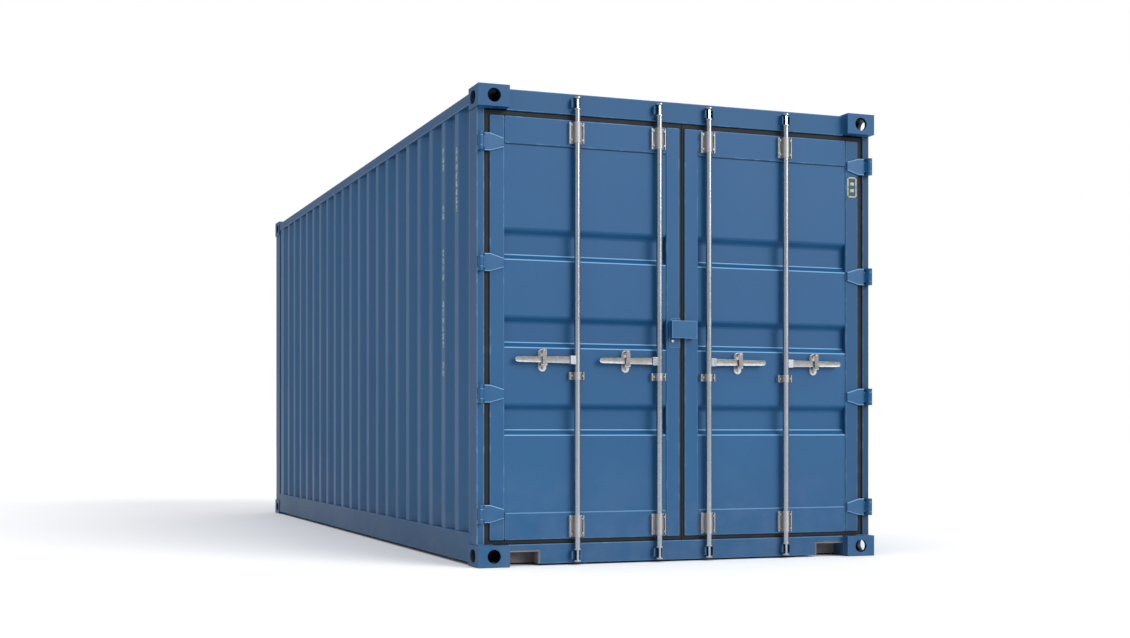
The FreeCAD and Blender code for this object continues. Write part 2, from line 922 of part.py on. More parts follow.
def bar_brackets():
    """Channel brackets with a strap round each bar, three to a bar."""
    half = size["bracket_width"] / 2
    plate = size["bracket_plate"]
    lip_x = door_face + size["bracket_lip"]
    bore = size["bar_radius"] + size["strap_clearance"]
    brackets = []
    for bar in ("bar_inner", "bar_outer"):
        y = BARS[bar]
        for word, level, height in BRACKETS:
            seat = panel_face if word == "mid" else door_face
            low = level - height / 2
            high = low + height
            name = f"{bar}_{word}"
            pieces = [
                box(f"{name}_base", seat, seat + plate, y - half, y + half, low, high),
                box(f"{name}_lip_a", seat, lip_x, y - half, y - half + plate, low, high),
                box(f"{name}_lip_b", seat, lip_x, y + half - plate, y + half, low, high),
                box(
                    f"{name}_saddle", seat, bar_x, y - strap_radius,
                    y + strap_radius, low, high,
                ),
                cylinder(f"{name}_strap", strap_radius, height, bar_x, y, low),
            ]
            solid = fuse(f"{name}_solid", pieces)
            hole = cylinder(f"{name}_hole", bore, height + 2 * over, bar_x, y, low - over)
            brackets.append(cut(f"{name}_bracket", solid, hole))
    return group("right_bar_brackets", brackets)


def handle_retainers():
    """Plates with a ledge under each handle and a rivet for its catch."""
    retainers = []
    for bar in ("bar_inner", "bar_outer"):
        y = BARS[bar] + size["retainer_reach"]
        half = size["retainer_width"] / 2
        rise = size["retainer_height"] / 2 - half
        plate = size["retainer_plate"]
        z = size["retainer_z"]
        handle_front = bar_x + size["handle_thickness"] / 2
        ledge_top = size["handle_z"] - size["handle_height"] / 2 - size["ledge_gap"]
        rivet_end = handle_front + size["catch_gap"] + size["catch_thickness"]
        pieces = [
            box(
                f"{bar}_plate", panel_face, panel_face + plate, y - half, y + half,
                z - rise, z + rise,
            ),
            cylinder(f"{bar}_plate_low", half, plate, panel_face, y, z - rise, "x"),
            cylinder(f"{bar}_plate_high", half, plate, panel_face, y, z + rise, "x"),
            box(
                f"{bar}_ledge", panel_face, handle_front + size["ledge_lip"], y - size["ledge_width"] / 2,
                y + size["ledge_width"] / 2, ledge_top - size["ledge_height"], ledge_top,
            ),
            cylinder(
                f"{bar}_rivet", size["rivet_radius"], rivet_end - panel_face, panel_face, y,
                size["handle_z"] + size["rivet_rise"], "x",
            ),
        ]
        retainers.append(fuse(f"{bar}_retainer", pieces))
    return group("right_handle_retainers", retainers)


def lock_box():
    """Steel hood on the right door that covers the padlock, open below and behind."""
    x_high = rear - size["lock_inset"]
    wall = size["lock_wall"]
    z_low = size["lock_bottom"]
    z_high = z_low + size["lock_height"]
    shell = box(
        "lock_shell", door_face + size["lock_gap"], x_high, -size["lock_left"],
        size["lock_right"], z_low, z_high,
    )
    hollow = box(
        "lock_hollow", door_face - over, x_high - wall, wall - size["lock_left"],
        size["lock_right"] - wall, z_low - over, z_high - wall,
    )
    hood = cut("lock_hood", shell, hollow)
    foot = box(
        "lock_foot", door_face, door_face + size["lock_gap"], door_inner, size["lock_right"],
        z_low, z_high,
    )
    return fuse("right_lock_box", [hood, foot])


def lock_plate():
    """Hasp plate on the left door's meeting stile, with rounded outer corners."""
    corner = size["lock_plate_corner"]
    y_out = -(door_inner + size["lock_plate_width"])
    z_low = size["lock_plate_bottom"]
    z_high = z_low + size["lock_plate_height"]
    points = [
        (y_out, z_low),
        (y_out, z_high - corner),
        (y_out + corner / 3, z_high - corner / 3),
        (y_out + corner, z_high),
        (-door_inner, z_high),
        (-door_inner, z_low),
    ]
    return profile(
        "left_lock_plate", "YZ_Plane", points, size["lock_plate_thickness"], x=door_face,
    )


# ---------------------------------------------------------------- locking bars

def locking_bar(name, sign, bar):
    """Rod with a cam and two collars at each end and the hub that carries its handle."""
    y = sign * BARS[bar]
    reach = size["cam_reach"]
    half = size["cam_width"] / 2
    cam_low = size["bar_bottom"] - size["cam_height"]
    pieces = [
        cylinder(
            f"{name}_rod", size["bar_radius"], bar_top - size["bar_bottom"],
            bar_x, y, size["bar_bottom"],
        ),
        box(
            f"{name}_cam_low", bar_x - reach, bar_x + reach / 2, y - half, y + half,
            cam_low, size["bar_bottom"],
        ),
        box(
            f"{name}_cam_top", bar_x - reach, bar_x + reach / 2, y - half, y + half,
            bar_top, bar_top + size["cam_height"],
        ),
    ]
    for word, low in (
        ("foot", cam_low - size["collar_height"]),
        ("low", as_size(size["bar_bottom"])),
        ("high", bar_top - size["collar_height"]),
        ("head", bar_top + size["cam_height"]),
    ):
        pieces.append(
            cylinder(f"{name}_{word}", collar_radius, size["collar_height"], bar_x, y, low)
        )
    hub_low = size["handle_z"] - size["hub_height"] / 2
    thick = size["hub_thickness"] / 2
    hub_near, hub_far = ordered(y, y + sign * hub_reach, sign)
    hub = box(
        f"{name}_hub_block", bar_x - thick, bar_x + thick, hub_near, hub_far,
        hub_low, hub_low + size["hub_height"],
    )
    slack = size["tongue_slack"]
    slot_start = handle_pin_reach - size["tongue_height"] / 2 - slack
    tongue = size["tongue_thickness"] / 2 + slack / 4
    slot_near, slot_far = ordered(y + sign * slot_start, y + sign * (hub_reach + over), sign)
    gap = box(
        f"{name}_hub_slot", bar_x - tongue, bar_x + tongue, slot_near, slot_far,
        hub_low - over, hub_low + size["hub_height"] + over,
    )
    pin = cylinder(
        f"{name}_pin", size["handle_pin_radius"], size["hub_thickness"], bar_x - thick,
        y + sign * handle_pin_reach, size["handle_z"], "x",
    )
    slotted = cut(f"{name}_hub", hub, gap)
    return fuse(name, pieces + [slotted, pin])


def ordered(near, far, sign):
    """Two places across the width, lower one first."""
    return (near, far) if sign > 0 else (far, near)


def handle(name, sign, bar):
    """Tapered flat handle with a tongue in the hub."""
    z = size["handle_z"]
    base = hub_reach + size["tongue_slack"]
    blade = size["handle_height"] / 2
    tip = size["handle_tip_height"] / 2
    flat = size["handle_tip_flat"]
    reach = size["handle_reach"]
    rows = [
        (base, -blade),
        (reach - tip, -tip),
        (reach - tip / 4, -flat),
        (reach, as_size(0)),
        (reach - tip / 4, flat),
        (reach - tip, tip),
        (base, blade),
    ]
    points = [(sign * (BARS[bar] + y), z + rise) for y, rise in rows]
    plate = profile(
        f"{name}_plate", "YZ_Plane", points, size["handle_thickness"],
        x=bar_x - size["handle_thickness"] / 2,
    )
    pin_y = sign * (BARS[bar] + handle_pin_reach)
    round_end = size["tongue_height"] / 2
    thick = size["tongue_thickness"]
    near, far = ordered(pin_y, sign * (BARS[bar] + base + over), sign)
    tongue = box(
        f"{name}_tongue", bar_x - thick / 2, bar_x + thick / 2, near, far,
        z - round_end, z + round_end,
    )
    end = cylinder(f"{name}_end", round_end, thick, bar_x - thick / 2, pin_y, z, "x")
    solid = fuse(f"{name}_solid", [plate, tongue, end])
    hole = cylinder(
        f"{name}_hole", size["handle_pin_radius"] + size["pin_clearance"],
        size["handle_thickness"] + 2 * over, bar_x - size["handle_thickness"] / 2 - over,
        pin_y, z, "x",
    )
    return cut(name, solid, hole)


def handle_catch(name, sign, bar):
    """Swinging catch that hangs from its rivet in front of the handle."""
    y = sign * (BARS[bar] + size["retainer_reach"])
    z = size["handle_z"] + size["rivet_rise"]
    half = size["catch_width"] / 2
    x_low = bar_x + size["handle_thickness"] / 2 + size["catch_gap"]
    thick = size["catch_thickness"]
    body = box(f"{name}_plate", x_low, x_low + thick, y - half, y + half, z - size["catch_drop"], z)
    eye = cylinder(f"{name}_eye", half, thick, x_low, y, z, "x")
    solid = fuse(f"{name}_solid", [body, eye])
    hole = cylinder(
        f"{name}_hole", size["rivet_radius"] + size["pin_clearance"], thick + 2 * over,
        x_low - over, y, z, "x",
    )
    return cut(name, solid, hole)


def cam_keepers(name, low):
    """Keepers of one level: a base and two horns beside each cam."""
    base = size["keeper_base"]
    horn = size["keeper_thickness"]
    gap = size["keeper_gap"]
    z_low = low + size["keeper_end_gap"]
    z_high = low + size["cam_height"] - size["keeper_end_gap"]
    x_high = bar_x + size["keeper_rise"]
    keepers = []
    for bar in ("bar_inner", "bar_outer"):
        y = BARS[bar]
        # the cam's short end passes the near horn corner first as the bar turns
        near = y - size["cam_reach"] / 2 - size["cam_width"] / 4 - gap
        far = y + collar_radius + gap
        pieces = [
            box(f"{name}_{bar}_base", post_face_x, post_face_x + base, near - horn, far + horn,
                z_low, z_high),
            box(f"{name}_{bar}_near", post_face_x, x_high, near - horn, near, z_low, z_high),
            box(f"{name}_{bar}_far", post_face_x, x_high, far, far + horn, z_low, z_high),
        ]
        right = fuse(f"{name}_{bar}_right", pieces)
        keepers += [right, mirror_y(f"{name}_{bar}_left", right)]
    return group(name, keepers)


# ---------------------------------------------------------------- build and write

def left_copy(source):
    """The left door's twin of a right-door node."""
    name = source.Name.replace("right_", "left_", 1)
    return mirror_y(name, source)


def build_nodes():
    """Every named piece of the container."""
    nodes = [
        corner_fittings("top_corner_fittings", True),
        corner_fittings("bottom_corner_fittings", False),
        rear_corner_posts(),
        front_corner_posts(),
        top_side_rails(),
        bottom_side_rails(),
    ]
    nodes += front_rails()
    nodes += [door_header(), door_sill(), sill_recesses()]
    nodes += side_walls()
    nodes += [front_wall(), roof_panel(), roof_end_plates(), plywood_floor(), floor_cross_members()]
    nodes += [
        cam_keepers("top_cam_keepers", bar_top),
        cam_keepers("bottom_cam_keepers", size["bar_bottom"] - size["cam_height"]),
        hinge_lugs(),
    ]
    for maker in (
        door_stiles, door_rails, door_panel, door_gasket, hinge_blades, bar_brackets,
        handle_retainers,
    ):
        right = maker()
        nodes += [right, left_copy(right)]
    nodes += [lock_box(), lock_plate()]
    places = ((-1, "bar_outer"), (-1, "bar_inner"), (1, "bar_inner"), (1, "bar_outer"))
    for number, (sign, bar) in enumerate(places, start=1):
        nodes.append(locking_bar(f"locking_bar_{number}", sign, bar))
        nodes.append(handle(f"bar_handle_{number}", sign, bar))
        nodes.append(handle_catch(f"handle_catch_{number}", sign, bar))
    return nodes


def check(nodes):
    """Stop on any failed object or bad shape."""
    for thing in doc.Objects:
        if "Invalid" in thing.State or "Error" in thing.State:
            raise RuntimeError(f"{thing.Name} failed: {thing.State}")
    for node in nodes:
        shape = node.Shape
        if shape.isNull() or not shape.isValid() or not shape.Solids:
            raise RuntimeError(f"{node.Name} has no valid solid")


def write(nodes):
    """One STEP file a node, named after its label."""
    os.makedirs("parts", exist_ok=True)
    for node in nodes:
        node.Label = node.Name
        node.Shape.exportStep(f"parts/{node.Label}.step")
        solids = len(node.Shape.Solids)
        print(f"{node.Label}: {solids} solids, {node.Shape.Volume / 1e6:.2f} dm3")


nodes = build_nodes()
doc.recompute()
check(nodes)
write(nodes)
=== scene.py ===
"""Looks of a twenty-foot freight container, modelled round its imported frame.

The file is laid out as an add-on and run as a script.  All sizes are in metres, +X runs
to the door end, +Y to the right-hand door and +Z up.
"""

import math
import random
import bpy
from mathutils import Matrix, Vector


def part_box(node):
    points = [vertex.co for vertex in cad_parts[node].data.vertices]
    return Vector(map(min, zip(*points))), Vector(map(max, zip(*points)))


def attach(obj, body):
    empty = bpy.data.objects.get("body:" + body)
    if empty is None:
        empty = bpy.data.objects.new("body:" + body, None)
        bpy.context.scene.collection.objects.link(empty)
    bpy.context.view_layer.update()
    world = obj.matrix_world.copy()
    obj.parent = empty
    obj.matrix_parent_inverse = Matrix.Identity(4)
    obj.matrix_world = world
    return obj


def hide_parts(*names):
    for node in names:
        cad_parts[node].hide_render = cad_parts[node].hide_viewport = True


bl_info = {
    "name": "Freight container looks",
    "version": (1, 0, 0),
    "blender": (4, 5, 0),
    "location": "View3D > Sidebar > Container",
    "description": "Models and paints a freight container round its fixed frame",
    "category": "Add Mesh",
}

import bmesh
import bpy
from mathutils import Vector

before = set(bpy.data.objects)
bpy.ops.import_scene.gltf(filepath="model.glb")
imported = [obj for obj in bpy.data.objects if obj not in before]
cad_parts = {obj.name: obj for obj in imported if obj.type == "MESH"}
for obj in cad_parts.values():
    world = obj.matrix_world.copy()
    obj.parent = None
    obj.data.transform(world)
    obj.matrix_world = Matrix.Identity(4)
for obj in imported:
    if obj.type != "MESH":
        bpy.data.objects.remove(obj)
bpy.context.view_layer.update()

X = Vector((1, 0, 0))
MM = 0.001
SAME_PLACE = 0.00001
SAME_PLANE = math.radians(0.4)
SMOOTH_BELOW = math.radians(35)
BLACK = (0, 0, 0)
FRAME = "container_frame"
SIDES = ("left", "right")
LEVELS = ("top", "bottom")

# face attributes that the finishes read
EDGE_MASK = "worn_and_highlit_edge_mask"
HOLLOW_SHADE_MASK = "hollow_shade"
# values of the edge mask: up to 1 the coat wears in specks, and from 1 to 2 a lighter line also runs
# along the whole edge, a painted highlight
NO_WEAR, SPECKS, HIGHLIGHT_LINE = 0.0, 1.0, 2.0

# a bracket higher than this takes two rows of bolts
TALL_BRACKET = 0.08
# edge radii of pieces that have no setting of their own
BOARD_ROUND = 0.002
SEAL_ROUND = 0.004
LOCK_BOX_ROUND = 0.0045
LOCK_PLATE_ROUND = 0.0015
KEEPER_ROUND = 0.001

# painted marks: how far they stand out, and the dashes' height and spacing
MARK_THICKNESS = 0.0006
DASH, DASH_PITCH = 0.036, 0.046
# top and foot of each run of plain dashes on two flats of the left wall
MARK_RUNS = (
    ((2.32, 1.95),),
    ((2.36, 2.20), (2.03, 1.94), (1.775, 1.585), (1.48, 1.20), (1.13, 1.02)),
)


# ------------------------------------------------------------------ settings

class ContainerColours(bpy.types.PropertyGroup):
    """Colours of the finishes, as linear values."""

    paint: bpy.props.FloatVectorProperty(
        name="Paint", description="Top coat on doors, frame and roof",
        subtype="COLOR", size=3, min=0, max=1, default=(0.006, 0.066, 0.170),
    )
    # painted light: the walls take a lighter, greyer copy of the paint, standing in for the sky light
    # their flats catch
    lit_wall_paint: bpy.props.FloatVectorProperty(
        name="Wall paint", description="Top coat of the side and front walls, a little greyer",
        subtype="COLOR", size=3, min=0, max=1, default=(0.022, 0.088, 0.200),
    )
    paint_faded: bpy.props.FloatVectorProperty(
        name="Faded paint", description="Top coat where sun has chalked it",
        subtype="COLOR", size=3, min=0, max=1, default=(0.016, 0.090, 0.205),
    )
    # lighter coat for worn specks on the edges and for the painted highlight lines along them
    worn_and_highlit_edge_colour: bpy.props.FloatVectorProperty(
        name="Worn edge", description="Top coat where the edges are rubbed thin",
        subtype="COLOR", size=3, min=0, max=1, default=(0.20, 0.40, 0.62),
    )
    underside: bpy.props.FloatVectorProperty(
        name="Underside coat", description="Bitumen coat on the floor's cross members",
        subtype="COLOR", size=3, min=0, max=1, default=(0.020, 0.022, 0.026),
    )
    zinc: bpy.props.FloatVectorProperty(
        name="Zinc", description="Galvanised bars, brackets, handles and catches",
        subtype="COLOR", size=3, min=0, max=1, default=(0.30, 0.297, 0.295),
    )
    rubber: bpy.props.FloatVectorProperty(
        name="Rubber", description="Door seals",
        subtype="COLOR", size=3, min=0, max=1, default=(0.012, 0.011, 0.011),
    )
    marking: bpy.props.FloatVectorProperty(
        name="Marking", description="Plain painted marks",
        subtype="COLOR", size=3, min=0, max=1, default=(0.50, 0.43, 0.10),
    )
    old_marking: bpy.props.FloatVectorProperty(
        name="Old marking", description="Plain marks that have weathered on the wall",
        subtype="COLOR", size=3, min=0, max=1, default=(0.46, 0.48, 0.36),
    )
    veneer: bpy.props.FloatVectorProperty(
        name="Veneer", description="Floor boards",
        subtype="COLOR", size=3, min=0, max=1, default=(0.20, 0.105, 0.050),
    )
    stage_floor: bpy.props.FloatVectorProperty(
        name="Stage floor", description="Plain floor that the container stands on",
        subtype="COLOR", size=3, min=0, max=1, default=(0.86, 0.86, 0.87),
    )


class ContainerSizes(bpy.types.PropertyGroup):
    """Radii and small sizes of the finishing work."""

    casting_round: bpy.props.FloatProperty(
        name="Casting round", description="Edge radius of the cast corner fittings",
        subtype="DISTANCE", default=0.0035, min=0.0005,
    )
    section_round: bpy.props.FloatProperty(
        name="Section round", description="Edge radius of rolled posts and rails",
        subtype="DISTANCE", default=0.005, min=0.0005,
    )
    sheet_bend: bpy.props.FloatProperty(
        name="Sheet bend", description="Bend radius of the side walls' waves",
        subtype="DISTANCE", default=0.009, min=0.001,
    )
    groove_bend: bpy.props.FloatProperty(
        name="Groove bend", description="Bend radius of door grooves and of roof and front wall waves",
        subtype="DISTANCE", default=0.011, min=0.001,
    )
    post_round: bpy.props.FloatProperty(
        name="Post round", description="Edge radius of the rear posts beside the seals",
        subtype="DISTANCE", default=0.010, min=0.0005,
    )
    stile_round: bpy.props.FloatProperty(
        name="Stile round", description="Edge radius of the door's stiles and rails",
        subtype="DISTANCE", default=0.007, min=0.0005,
    )
    # painted highlight: the bends at the foot of a groove get a lighter line of this width
    groove_line: bpy.props.FloatProperty(
        name="Groove line", description="Width of the rubbed bends at the foot of a groove",
        subtype="DISTANCE", default=0.0035, min=0.0005,
    )
    # painted shadow: the dark strip under the door's top rail stands in for the shade the rail casts
    shadow_line_width: bpy.props.FloatProperty(
        name="Seam width", description="Width of the sealant under the door's top rail",
        subtype="DISTANCE", default=0.005, min=0.0005,
    )
    blade_round: bpy.props.FloatProperty(
        name="Blade round", description="Edge radius of the hinge blades",
        subtype="DISTANCE", default=0.005, min=0.0005,
    )
    forging_round: bpy.props.FloatProperty(
        name="Forging round", description="Edge radius of small forged pieces",
        subtype="DISTANCE", default=0.0022, min=0.0002,
    )
    weld_radius: bpy.props.FloatProperty(
        name="Weld radius", description="Radius of a weld bead",
        subtype="DISTANCE", default=0.004, min=0.001,
    )
    bolt_radius: bpy.props.FloatProperty(
        name="Bolt radius", description="Radius over the corners of a bolt's head",
        subtype="DISTANCE", default=0.0085, min=0.002,
    )
    bolt_inset: bpy.props.FloatProperty(
        name="Bolt inset", description="How far a bolt stands from the end of a bracket",
        subtype="DISTANCE", default=0.018, min=0.002,
    )
    bolt_height: bpy.props.FloatProperty(
        name="Bolt height", description="Height of a bracket bolt's head",
        subtype="DISTANCE", default=0.0055, min=0.001,
    )


class ContainerStage(bpy.types.PropertyGroup):
    """Camera and lights."""

    lens: bpy.props.FloatProperty(
        name="Lens", description="Focal length in millimetres", default=49.5, min=10,
    )
    eye: bpy.props.FloatVectorProperty(
        name="Eye", description="Where the camera stands",
        subtype="XYZ", size=3, default=(10.940, -3.710, 0.733),
    )
    heading: bpy.props.FloatProperty(
        name="Heading", description="Turn of the level camera about the upright",
        subtype="ANGLE", default=math.radians(69.33),
    )
    rise: bpy.props.FloatProperty(
        name="Rise", description="Upward shift of the lens, as a share of the width",
        default=0.099,
    )
    key_power: bpy.props.FloatProperty(
        name="Key power", description="Power of the large soft light at the right",
        default=2.3, min=0,
    )
    top_power: bpy.props.FloatProperty(
        name="Top power", description="Power of the wide light overhead",
        default=1.3, min=0,
    )
    sky_strength: bpy.props.FloatProperty(
        name="Sky strength", description="Brightness of the even surroundings",
        default=0.62, min=0,
    )


def colours():
    return bpy.context.scene.container_colours


def sizes():
    return bpy.context.scene.container_sizes


# ------------------------------------------------------------------ modelling helpers

def deselect_all():
    """Leave edit mode and clear the selection."""
    active = bpy.context.view_layer.objects.active
    if active is not None and active.mode != "OBJECT":
        bpy.ops.object.mode_set(mode="OBJECT")
    bpy.ops.object.select_all(action="DESELECT")


def work_on(piece):
    """Make one piece the only selected and active one."""
    deselect_all()
    piece.select_set(True)
    bpy.context.view_layer.objects.active = piece


def opened(piece, kind):
    """Open the piece in edit mode with nothing selected, and return its mesh."""
    work_on(piece)
    bpy.ops.object.mode_set(mode="EDIT")
    bpy.ops.mesh.select_mode(type=kind)
    bpy.ops.mesh.select_all(action="DESELECT")
    return bmesh.from_edit_mesh(piece.data)


def named(piece, name):
    piece.name = name
    piece.data.name = name
    return piece


def settle(piece, name):
    """Put the piece's place into its mesh, so its object stands at the origin."""
    work_on(piece)
    bpy.ops.object.transform_apply(location=True, rotation=True, scale=True)
    return named(piece, name)


def block(name, low, high):
    """A box between two corners."""
    low, high = Vector(low), Vector(high)
    deselect_all()
    bpy.ops.mesh.primitive_cube_add(size=1, location=(low + high) / 2)
    piece = bpy.context.object
    piece.scale = high - low
    return settle(piece, name)


def turned(name, radius, start, end, sides):
    """A straight round bar between two points."""
    start, end = Vector(start), Vector(end)
    run = end - start
    deselect_all()
    bpy.ops.mesh.primitive_cylinder_add(
        vertices=sides, radius=radius, depth=run.length, location=(start + end) / 2,
        rotation=run.to_track_quat("Z", "Y").to_euler(),
    )
    return settle(bpy.context.object, name)


def joined(name, pieces):
    """Several pieces as one."""
    deselect_all()
    for piece in pieces:
        piece.select_set(True)
    bpy.context.view_layer.objects.active = pieces[0]
    if len(pieces) > 1:
        bpy.ops.object.join()
    return named(bpy.context.view_layer.objects.active, name)


def traced(name, node):
    """A piece that starts as a welded copy of a CAD node's faces."""
    piece = bpy.data.objects.new(name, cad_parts[node].data.copy())
    bpy.context.scene.collection.objects.link(piece)
    named(piece, name)
    piece.data.materials.clear()
    work_on(piece)
    if piece.data.has_custom_normals:
        bpy.ops.mesh.customdata_custom_splitnormals_clear()
    bpy.ops.object.mode_set(mode="EDIT")
    bpy.ops.mesh.select_all(action="SELECT")
    bpy.ops.mesh.remove_doubles(threshold=SAME_PLACE)
    bpy.ops.mesh.dissolve_limited(angle_limit=SAME_PLANE)
    bpy.ops.object.mode_set(mode="OBJECT")
    return piece


def round_edges(piece, width, segments=2, sharper_than=32, blunter_than=181, wanted=None,
                mark=SPECKS, clamp=True):
    """Bevel the edges whose faces meet within a range of angles, and mark the new faces."""
    piece.data.materials.clear()
    piece.data.materials.append(None)
    piece.data.materials.append(None)
    mesh = opened(piece, "EDGE")
    count = 0
    for edge in mesh.edges:
        if len(edge.link_faces) != 2:
            continue
        bend = math.degrees(edge.calc_face_angle())
        if sharper_than < bend < blunter_than and (wanted is None or wanted(edge)):
            edge.select_set(True)
            count += 1
    bmesh.update_edit_mesh(piece.data)
    if count:
        # the new faces take the second material, which tells them from the flats
        bpy.ops.mesh.bevel(
            offset=width, offset_type="OFFSET", segments=segments, affect="EDGES",
            clamp_overlap=clamp, material=1,
        )
    mesh = bmesh.from_edit_mesh(piece.data)
    mask = mesh.faces.layers.float.get(EDGE_MASK) or mesh.faces.layers.float.new(EDGE_MASK)
    for face in mesh.faces:
        if face.material_index == 1:
            face[mask] = mark
            face.material_index = 0
    bmesh.update_edit_mesh(piece.data)
    bpy.ops.object.mode_set(mode="OBJECT")
    piece.data.materials.clear()
    return piece


def smooth(piece):
    """Shade smooth where faces meet gently, with the large faces kept flat."""
    work_on(piece)
    bpy.ops.object.shade_smooth_by_angle(angle=SMOOTH_BELOW)
    bpy.ops.object.modifier_add(type="WEIGHTED_NORMAL")
    even = piece.modifiers[-1]
    even.keep_sharp = True
    even.weight = 100
    bpy.ops.object.modifier_apply(modifier=even.name)


def finished(piece, body, coat, slot, *nodes):
    """Give the piece its finish and its place in the frame."""
    smooth(piece)
    piece.data.materials.clear()
    piece.data.materials.append(FINISHES[coat])
    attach(piece, body)
    if nodes:
        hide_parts(*nodes)


def reworked(node, name, body, coat, slot, width, **how):
    """A CAD node's shape with its edges rounded, finished and in its place."""
    piece = traced(name, node)
    round_edges(piece, width, **how)
    finished(piece, body, coat, slot, node)


def bolt_head(name, spot, radius, height, sides=6):
    """A chamfered bolt head that stands on a face towards the door end."""
    spot = Vector(spot)
    rooted, chamfer = height * 0.2, height * 0.22
    head = turned(name, radius, spot - X * rooted, spot + X * height, sides)
    return round_edges(head, chamfer, sharper_than=70)


def dome(name, spot, radius, height):
    """A rivet's rounded head, which faces the door end."""
    deselect_all()
    bpy.ops.mesh.primitive_uv_sphere_add(segments=20, ring_count=10, radius=radius, location=spot)
    head = bpy.context.object
    head.rotation_euler = X.to_track_quat("Z", "Y").to_euler()
    head.scale = (1, 1, height / radius)
    return settle(head, name)


def weld(name, start, end, seed):
    """A bead of weld along a straight seam, rippled by its many short steps."""
    radius = sizes().weld_radius
    bead = turned(name, radius, start, end, 8)
    length = (end - start).length
    direction = (end - start).normalized()
    ripple, most_steps = radius * 2.2, 160
    steps = max(2, min(most_steps, int(length / ripple)))
    mesh = opened(bead, "EDGE")
    for edge in mesh.edges:
        run = (edge.verts[0].co - edge.verts[1].co).normalized()
        edge.select_set(abs(run.dot(direction)) > 0.99)
    bmesh.update_edit_mesh(bead.data)
    bpy.ops.mesh.subdivide(number_cuts=steps)
    bpy.ops.object.mode_set(mode="OBJECT")
    draw = random.Random(seed)
    least, spread = 0.82, 0.30
    swell = {}
    for vertex in bead.data.vertices:
        along = (vertex.co - start).dot(direction)
        middle = start + direction * along
        key = round(along / length * (steps + 1))
        if key not in swell:
            swell[key] = least + spread * draw.random()
        if 0 < key < steps + 1:
            vertex.co = middle + (vertex.co - middle) * swell[key]
    return bead


def solids_of(node):
    """The lowest and highest corners of each separate solid in a node."""
    mesh = bmesh.new()
    mesh.from_mesh(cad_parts[node].data)
    bmesh.ops.remove_doubles(mesh, verts=mesh.verts, dist=SAME_PLACE)
    boxes, seen = [], set()
    for first in mesh.verts:
        if first in seen:
            continue
        seen.add(first)
        waiting, low, high = [first], first.co.copy(), first.co.copy()
        while waiting:
            vertex = waiting.pop()
            low = Vector(map(min, low, vertex.co))
            high = Vector(map(max, high, vertex.co))
            for edge in vertex.link_edges:
                other = edge.other_vert(vertex)
                if other not in seen:
                    seen.add(other)
                    waiting.append(other)
        boxes.append((low, high))
    mesh.free()
    return sorted(boxes, key=lambda box: (round(box[0].y, 3), round(box[0].z, 3)))


def lip_level(node, low, high):
    """How far out the flat lip stands at the low edge of a bracket."""
    return max(
        v.co.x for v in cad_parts[node].data.vertices
        if abs(v.co.y - low.y) < MM and low.z - MM < v.co.z < high.z + MM
    )


def sunk_face(piece, border, depth):
    """Press the middle of the faces furthest towards the door end into the piece."""
    mesh = opened(piece, "FACE")
    outward = [face for face in mesh.faces if face.normal.x > 0.999]
    reach = max(face.calc_center_median().x for face in outward)
    for face in outward:
        if face.calc_center_median().x > reach - MM / 2:
            face.select_set(True)
    bmesh.update_edit_mesh(piece.data)
    bpy.ops.mesh.inset(thickness=border, depth=-depth)
    bpy.ops.object.mode_set(mode="OBJECT")


# ------------------------------------------------------------------ finishes

def new_group(name, sockets_in, sockets_out):
    """An empty shader group with named inputs and outputs."""
    group = bpy.data.node_groups.new(name, "ShaderNodeTree")
    for label, kind, value in sockets_in:
        socket = group.interface.new_socket(name=label, in_out="INPUT", socket_type=kind)
        if value is not None:
            socket.default_value = value
    for label, kind in sockets_out:
        group.interface.new_socket(name=label, in_out="OUTPUT", socket_type=kind)
    return group, group.nodes.new("NodeGroupInput"), group.nodes.new("NodeGroupOutput")


COLOUR, NUMBER = "NodeSocketColor", "NodeSocketFloat"


def add(tree, kind, **values):
    """One node with its inputs and settings."""
    node = tree.nodes.new(kind)
    for key, value in values.items():
        if hasattr(node, key):
            setattr(node, key, value)
        else:
            node.inputs[key.replace("_", " ")].default_value = value
    return node


def noise(tree, where, scale, detail, rough=0.55):
    node = add(tree, "ShaderNodeTexNoise", Scale=scale, Detail=detail, Roughness=rough)
    tree.links.new(where, node.inputs["Vector"])
    return node.outputs["Fac"]


def stretch(tree, where, scale):
    node = add(tree, "ShaderNodeMapping", Scale=scale)
    tree.links.new(where, node.inputs["Vector"])
    return node.outputs["Vector"]


def remap(tree, value, low, high, to_low=0.0, to_high=1.0):
    """A value eased from one range to another."""
    node = add(
        tree, "ShaderNodeMapRange", interpolation_type="SMOOTHSTEP",
        From_Min=low, From_Max=high, To_Min=to_low, To_Max=to_high,
    )
    tree.links.new(value, node.inputs["Value"])
    return node.outputs["Result"]


def arithmetic(tree, operation, first, second):
    node = add(tree, "ShaderNodeMath", operation=operation)
    for socket, value in zip(node.inputs, (first, second)):
        if isinstance(value, (int, float)):
            socket.default_value = value
        else:
            tree.links.new(value, socket)
    return node.outputs[0]


def times(tree, first, second):
    return arithmetic(tree, "MULTIPLY", first, second)


def plus(tree, first, second):
    return arithmetic(tree, "ADD", first, second)


def blended(tree, amount, first, second):
    """Two colours mixed by an amount."""
    node = add(tree, "ShaderNodeMix", data_type="RGBA")
    for socket, value in ((node.inputs[0], amount), (node.inputs[6], first), (node.inputs[7], second)):
        if isinstance(value, bpy.types.NodeSocket):
            tree.links.new(value, socket)
        elif isinstance(value, (int, float)):
            socket.default_value = value
        else:
            socket.default_value = (*value[:3], 1)
    return node.outputs[2]


